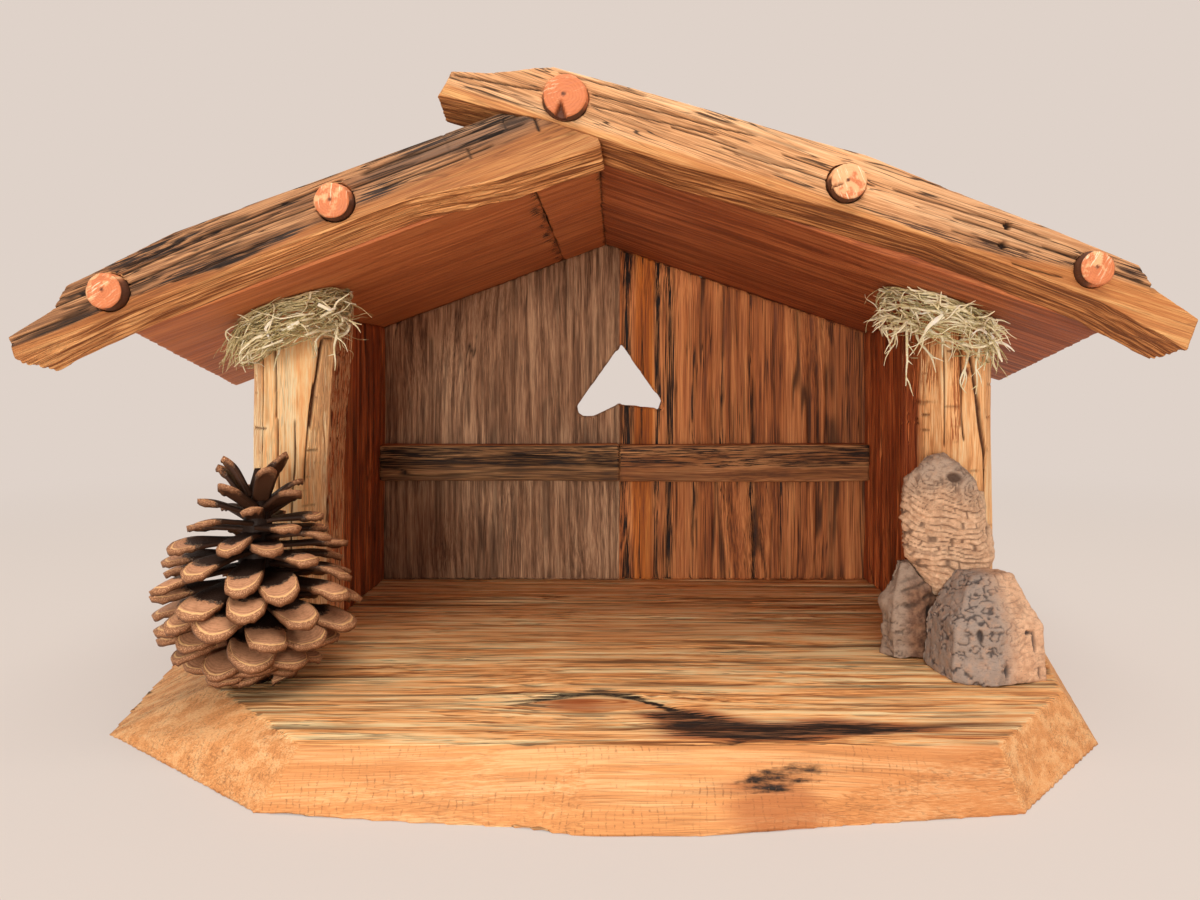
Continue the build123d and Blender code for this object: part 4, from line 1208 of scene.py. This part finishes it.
driftLook = dict(voxel=0.42, soften=3, slot="driftwood", lineRest=0.0, greyBelow=(90.0, 88.0),
                 greyTop=(90.0, 95.0), rot=[])
driftLooks = dict(
    driftwood_knot=dict(
        driftLook, seed=301, heart=(112.0, 92.0), layer=2.0, lineHalf=0.19, layerDepth=0.5,
        lineBox=(90.0, 118.5, 30.0, 72.0), lineRest=0.3, lineShare=0.8, breaks=-0.45, lump=1.5, cross=0.8,
        scribble=0.6, curl=(113.4, 69.9, 5.0), terrace=0.9, greyTop=(62.0, 76.0), pale=(232, 190, 154),
        mid=(202, 158, 124), dark=(84, 58, 44), grey=(184, 158, 138),
        rot=[((108.6, 73.6), (3.0, 1.9)), ((119.8, 58.0), (0.7, 5.0)), ((117.0, 66.0), (0.5, 3.0))]),
    driftwood_slab=dict(
        driftLook, voxel=0.7, seed=307, heart=(60.0, 60.0), layer=2.4, lineHalf=0.2, layerDepth=0.2,
        lineBox=(90.0, 130.0, 30.0, 80.0), lineShare=0.5, breaks=-0.2, lump=0.5, cross=0.2, scribble=0.3,
        pale=(222, 186, 152), mid=(196, 160, 128), dark=(96, 70, 54), grey=(170, 156, 142)),
    driftwood_rock=dict(
        driftLook, soften=4, seed=311, heart=(131.0, 12.0), layer=1.9, lineHalf=0.2, layerDepth=0.15,
        lineBox=(117.5, 130.0, 10.0, 48.0), lineShare=0.4, breaks=-0.3, lump=0.8, cross=0.1, scribble=0.9,
        greyBelow=(121.0, 111.0), pale=(226, 180, 144), mid=(202, 154, 120), dark=(58, 50, 50),
        grey=(156, 138, 126),
        rot=[((124.3, 27.0), (0.8, 3.6)), ((122.6, 29.5), (1.6, 0.7)), ((125.6, 18.2), (0.6, 1.8)),
             ((114.5, 19.0), (1.2, 2.2)), ((107.0, 29.0), (0.9, 2.4))]),
    bark_chunk=dict(
        driftLook, voxel=0.5, soften=2, seed=317, slot="bark", heart=(70.0, 90.0), layer=4.2,
        lineHalf=0.5, layerDepth=0.8, lineBox=(92.0, 110.0, 10.0, 40.0), lineShare=0.75, breaks=-0.1,
        lump=1.5, cross=0.3, scribble=0.7, greyBelow=(96.0, 91.0), greyTop=(36.0, 44.0),
        pale=(146, 106, 80), mid=(100, 66, 48), dark=(40, 26, 19), grey=(164, 140, 122),
        rot=[((101.0, 28.0), (2.2, 5.0))]),
)


def driftMaterial(name, look):
    material, tree, shader = freshMaterial(name)
    where = objectPlace(tree)
    mottle = speckle(tree, where, 0.45, 5.0, 0.6)
    fleck = speckle(tree, where, 2.2, 4.0, 0.7)
    streak = speckle(tree, where, (0.6, 1.0, 2.6), 3.0, 0.6)
    shade = blendTones(tree, spread(tree, mottle, 0.35, 0.65), look["mid"], look["pale"])
    greyed = times(tree, maskOf(tree, "greyed"), spread(tree, mottle, 0.3, 0.55, 0.6, 1.0))
    shade = blendTones(tree, greyed, shade, look["grey"])
    shade = blendTones(tree, spread(tree, streak, 0.52, 0.75, 0.0, 0.35), shade, look["dark"])
    shade = blendTones(tree, spread(tree, fleck, 0.56, 0.72, 0.0, 0.5), shade, look["dark"])
    lines = larger(tree, maskOf(tree, "layer"), maskOf(tree, "crack"))
    shade = blendTones(tree, times(tree, lines, 0.92), shade, look["dark"])
    paint(tree, shader, shade, spread(tree, fleck, 0.3, 0.7, 0.7, 0.92))
    bumped(tree, shader, minus(tree, fleck, lines), 0.5, 0.4)
    return material


# Thin lines where a noise field passes through nothing
def thinLines(field, width):
    return 1 - softStep(0.25 * width, width, np.abs(field))


def wornDriftwood(nodeName, look):
    mesh = griddedCopy(nodeName, uprightAxes, look["voxel"], soften=look["soften"])
    places, facing = readShape(mesh)
    seed = look["seed"]
    x, y, z = places.T
    lumps = unevenness(places, 8.0, 4, seed)
    offX, offZ = x - look["heart"][0], (z - look["heart"][1]) * 1.15
    away = np.hypot(offX, offZ) + 0.35 * y + 1.7 * unevenness(places, 7.0, 2, seed + 1)
    away = away + 1.3 * latticeNoise(np.stack([away / 5.5, 0 * x, 0 * x], 1), seed + 8)
    if "curl" in look:                                     # rings of their own round a small side branch
        curlX, curlZ, curlReach = look["curl"]
        toCurl = np.hypot(x - curlX, z - curlZ) + 0.5 * lumps
        curled = softStep(curlReach + 1.0, curlReach - 1.0, toCurl)
        away = away * (1 - curled) + 1.5 * toCurl * curled
    number = np.floor(away / look["layer"])
    toLine = look["layer"] * (0.5 - np.abs(away / look["layer"] - number - 0.5))
    broken = softStep(look["breaks"], look["breaks"] + 0.5, unevenness(places, 5.0, 2, seed + 2))
    half = look["lineHalf"] * (1 + 0.6 * unevenness(places, 9.0, 1, seed + 7))
    left, right, low, high = look["lineBox"]
    inside = softStep(left - 1.2, left + 1.2, x) * softStep(right + 1.2, right - 1.2, x)
    inside = inside * softStep(low - 2.0, low + 2.0, z) * softStep(high + 4.0, high - 2.0, z + 2.0 * lumps)
    lined = look["lineRest"] + (1 - look["lineRest"]) * inside
    layer = (1 - softStep(0.4 * half, 1.5 * half, toLine)) * broken * lined * look["lineShare"]
    angle = np.arctan2(offZ, offX)
    spoke = latticeNoise(np.stack([angle * 11.0, number * 7.31, 0 * angle], 1), seed + 3)
    gaps = latticeNoise(np.stack([angle * 4, number * 3.7, 0 * x], 1), seed + 4)
    cross = thinLines(spoke, 0.13) * softStep(-0.3, 0.2, gaps)
    strokes = thinLines(unevenness(places, (2.4, 2.4, 1.7), 2, seed + 5), 0.2)
    strokes = strokes * softStep(-0.4, 0.1, unevenness(places, 5.0, 2, seed + 6))
    greyed = softStep(*look["greyBelow"], x + 0.8 * lumps) + softStep(*look["greyTop"], z + 2.0 * lumps)
    greyed = np.clip(greyed, 0, 1)
    crack = np.maximum(look["cross"] * cross * lined, look["scribble"] * strokes * (0.35 + 0.65 * greyed))
    rot = sum((softStep(0.35, 0.75, spot(x, z + 0.8 * lumps, *patch)) for patch in look["rot"]), 0 * x)
    crack = np.maximum(crack, rot)
    terrace = look.get("terrace", 0.0) * lined * (away / look["layer"] - number - 0.5)
    offset = look["lump"] * lumps + terrace - look["layerDepth"] * layer - 0.5 * crack - 0.7 * rot
    places += facing * offset[:, None]
    storeShape(mesh, places, dict(layer=layer, crack=crack, greyed=greyed))
    mount(nodeName + "Worn", mesh, driftMaterial(nodeName + "Worn", look), look["slot"], nodeName)


for nodeName, look in driftLooks.items():
    wornDriftwood(nodeName, look)
print("driftwood worn")


# Screws and brads keep their frame meshes and get a dull steel finish

steelLook = dict(bare=(150, 148, 144), tarnished=(96, 84, 72))


def steelMaterial():
    material, tree, shader = freshMaterial("dullSteel")
    where = objectPlace(tree)
    tarnish = speckle(tree, where, 1.8, 4.0, 0.6)
    shade = blendTones(tree, spread(tree, tarnish, 0.4, 0.7), steelLook["bare"], steelLook["tarnished"])
    paint(tree, shader, shade, spread(tree, tarnish, 0.3, 0.7, 0.3, 0.6))
    shader.inputs["Metallic"].default_value = 0.9
    bumped(tree, shader, tarnish, 0.2, 0.1)
    return material


dullSteel = steelMaterial()
for nodeName in ("base_screws", "roof_brads"):
    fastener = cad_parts[nodeName]
    for materialSlot in fastener.material_slots:
        materialSlot.material = dullSteel


# Floor, backdrop colour, light and camera

stageLook = dict(backdrop=(223, 210, 201), floorHalf=3.0, fade=(0.3, 0.9), keep=0.6, ambient=0.6,
                 ambientTone=(1.0, 0.97, 0.93, 1.0), lampTone=(1.0, 0.95, 0.88),
                 keyPlace=(-0.22, -1.08, 0.14), keyAim=(0.0, -0.02, 0.09), keySize=0.28, keyPower=5.4,
                 topPlace=(0.1, -0.5, 1.2), topSize=0.9, topPower=10.5)


def straightRays(tree):
    path = wire(tree, "ShaderNodeLightPath").outputs
    seen = larger(tree, path["Is Camera Ray"], path["Is Glossy Ray"])
    return larger(tree, seen, path["Is Transmission Ray"])


def buildFloor():
    bm = bmesh.new()
    bmesh.ops.create_grid(bm, x_segments=2, y_segments=2, size=stageLook["floorHalf"])
    mesh = meshFrom(bm, "floor")
    material = bpy.data.materials.new("paleFloor")
    material.use_nodes = True
    tree = material.node_tree
    tree.nodes.remove(tree.nodes["Principled BSDF"])
    out = tree.nodes["Material Output"]
    where = wire(tree, "ShaderNodeTexCoord").outputs["Object"]
    away = wire(tree, "ShaderNodeVectorMath", {0: where}, operation="LENGTH").outputs["Value"]
    far = spread(tree, away, *stageLook["fade"], stageLook["keep"], 1.0)
    share = times(tree, far, straightRays(tree))
    matt = wire(tree, "ShaderNodeBsdfDiffuse", {"Color": tone(*stageLook["backdrop"])})
    plain = wire(tree, "ShaderNodeEmission", {"Color": tone(*stageLook["backdrop"]), "Strength": 1.0})
    both = wire(tree, "ShaderNodeMixShader", {0: share, 1: matt.outputs[0], 2: plain.outputs[0]})
    tree.links.new(both.outputs[0], out.inputs["Surface"])
    mesh.materials.append(material)
    placed("floor", mesh)


def buildWorld():
    world = bpy.data.worlds.new("studio")
    bpy.context.scene.world = world
    world.use_nodes = True
    tree = world.node_tree
    tree.nodes.clear()
    seen = wire(tree, "ShaderNodeBackground", {"Color": tone(*stageLook["backdrop"]), "Strength": 1.0})
    glow = {"Color": stageLook["ambientTone"], "Strength": stageLook["ambient"]}
    ambient = wire(tree, "ShaderNodeBackground", glow)
    shaders = {0: straightRays(tree), 1: ambient.outputs[0], 2: seen.outputs[0]}
    both = wire(tree, "ShaderNodeMixShader", shaders)
    out = wire(tree, "ShaderNodeOutputWorld")
    tree.links.new(both.outputs[0], out.inputs["Surface"])


def buildLamp(name, place, size, power):
    lamp = bpy.data.lights.new(name, "AREA")
    lamp.shape = "DISK"
    lamp.size = size
    lamp.energy = power
    lamp.color = stageLook["lampTone"]
    holder = placed(name, lamp)
    holder.location = place
    aim = Vector(stageLook["keyAim"]) - Vector(place)
    holder.rotation_euler = aim.to_track_quat("-Z", "Y").to_euler()


# The lens is the photograph's: 870 pixels of 1200, with its axis right of and above the middle
cameraLook = dict(place=(0.0, -0.3007, 0.103), lens=26.1, sensor=36.0, shiftX=-0.0125, shiftY=-0.0542)


def buildCamera():
    data = bpy.data.cameras.new("photoView")
    data.sensor_width = cameraLook["sensor"]
    data.lens = cameraLook["lens"]
    data.shift_x = cameraLook["shiftX"]
    data.shift_y = cameraLook["shiftY"]
    data.clip_start = 0.01
    camera = placed("photoView", data)
    camera.location = cameraLook["place"]
    camera.rotation_euler = (math.radians(90), 0, 0)
    bpy.context.scene.camera = camera


buildFloor()
buildWorld()
buildLamp("softKey", stageLook["keyPlace"], stageLook["keySize"], stageLook["keyPower"])
buildLamp("softTop", stageLook["topPlace"], stageLook["topSize"], stageLook["topPower"])
buildCamera()
bpy.context.scene.view_settings.view_transform = "Standard"
print("stage, light and camera ready")

bpy.context.view_layer.update()
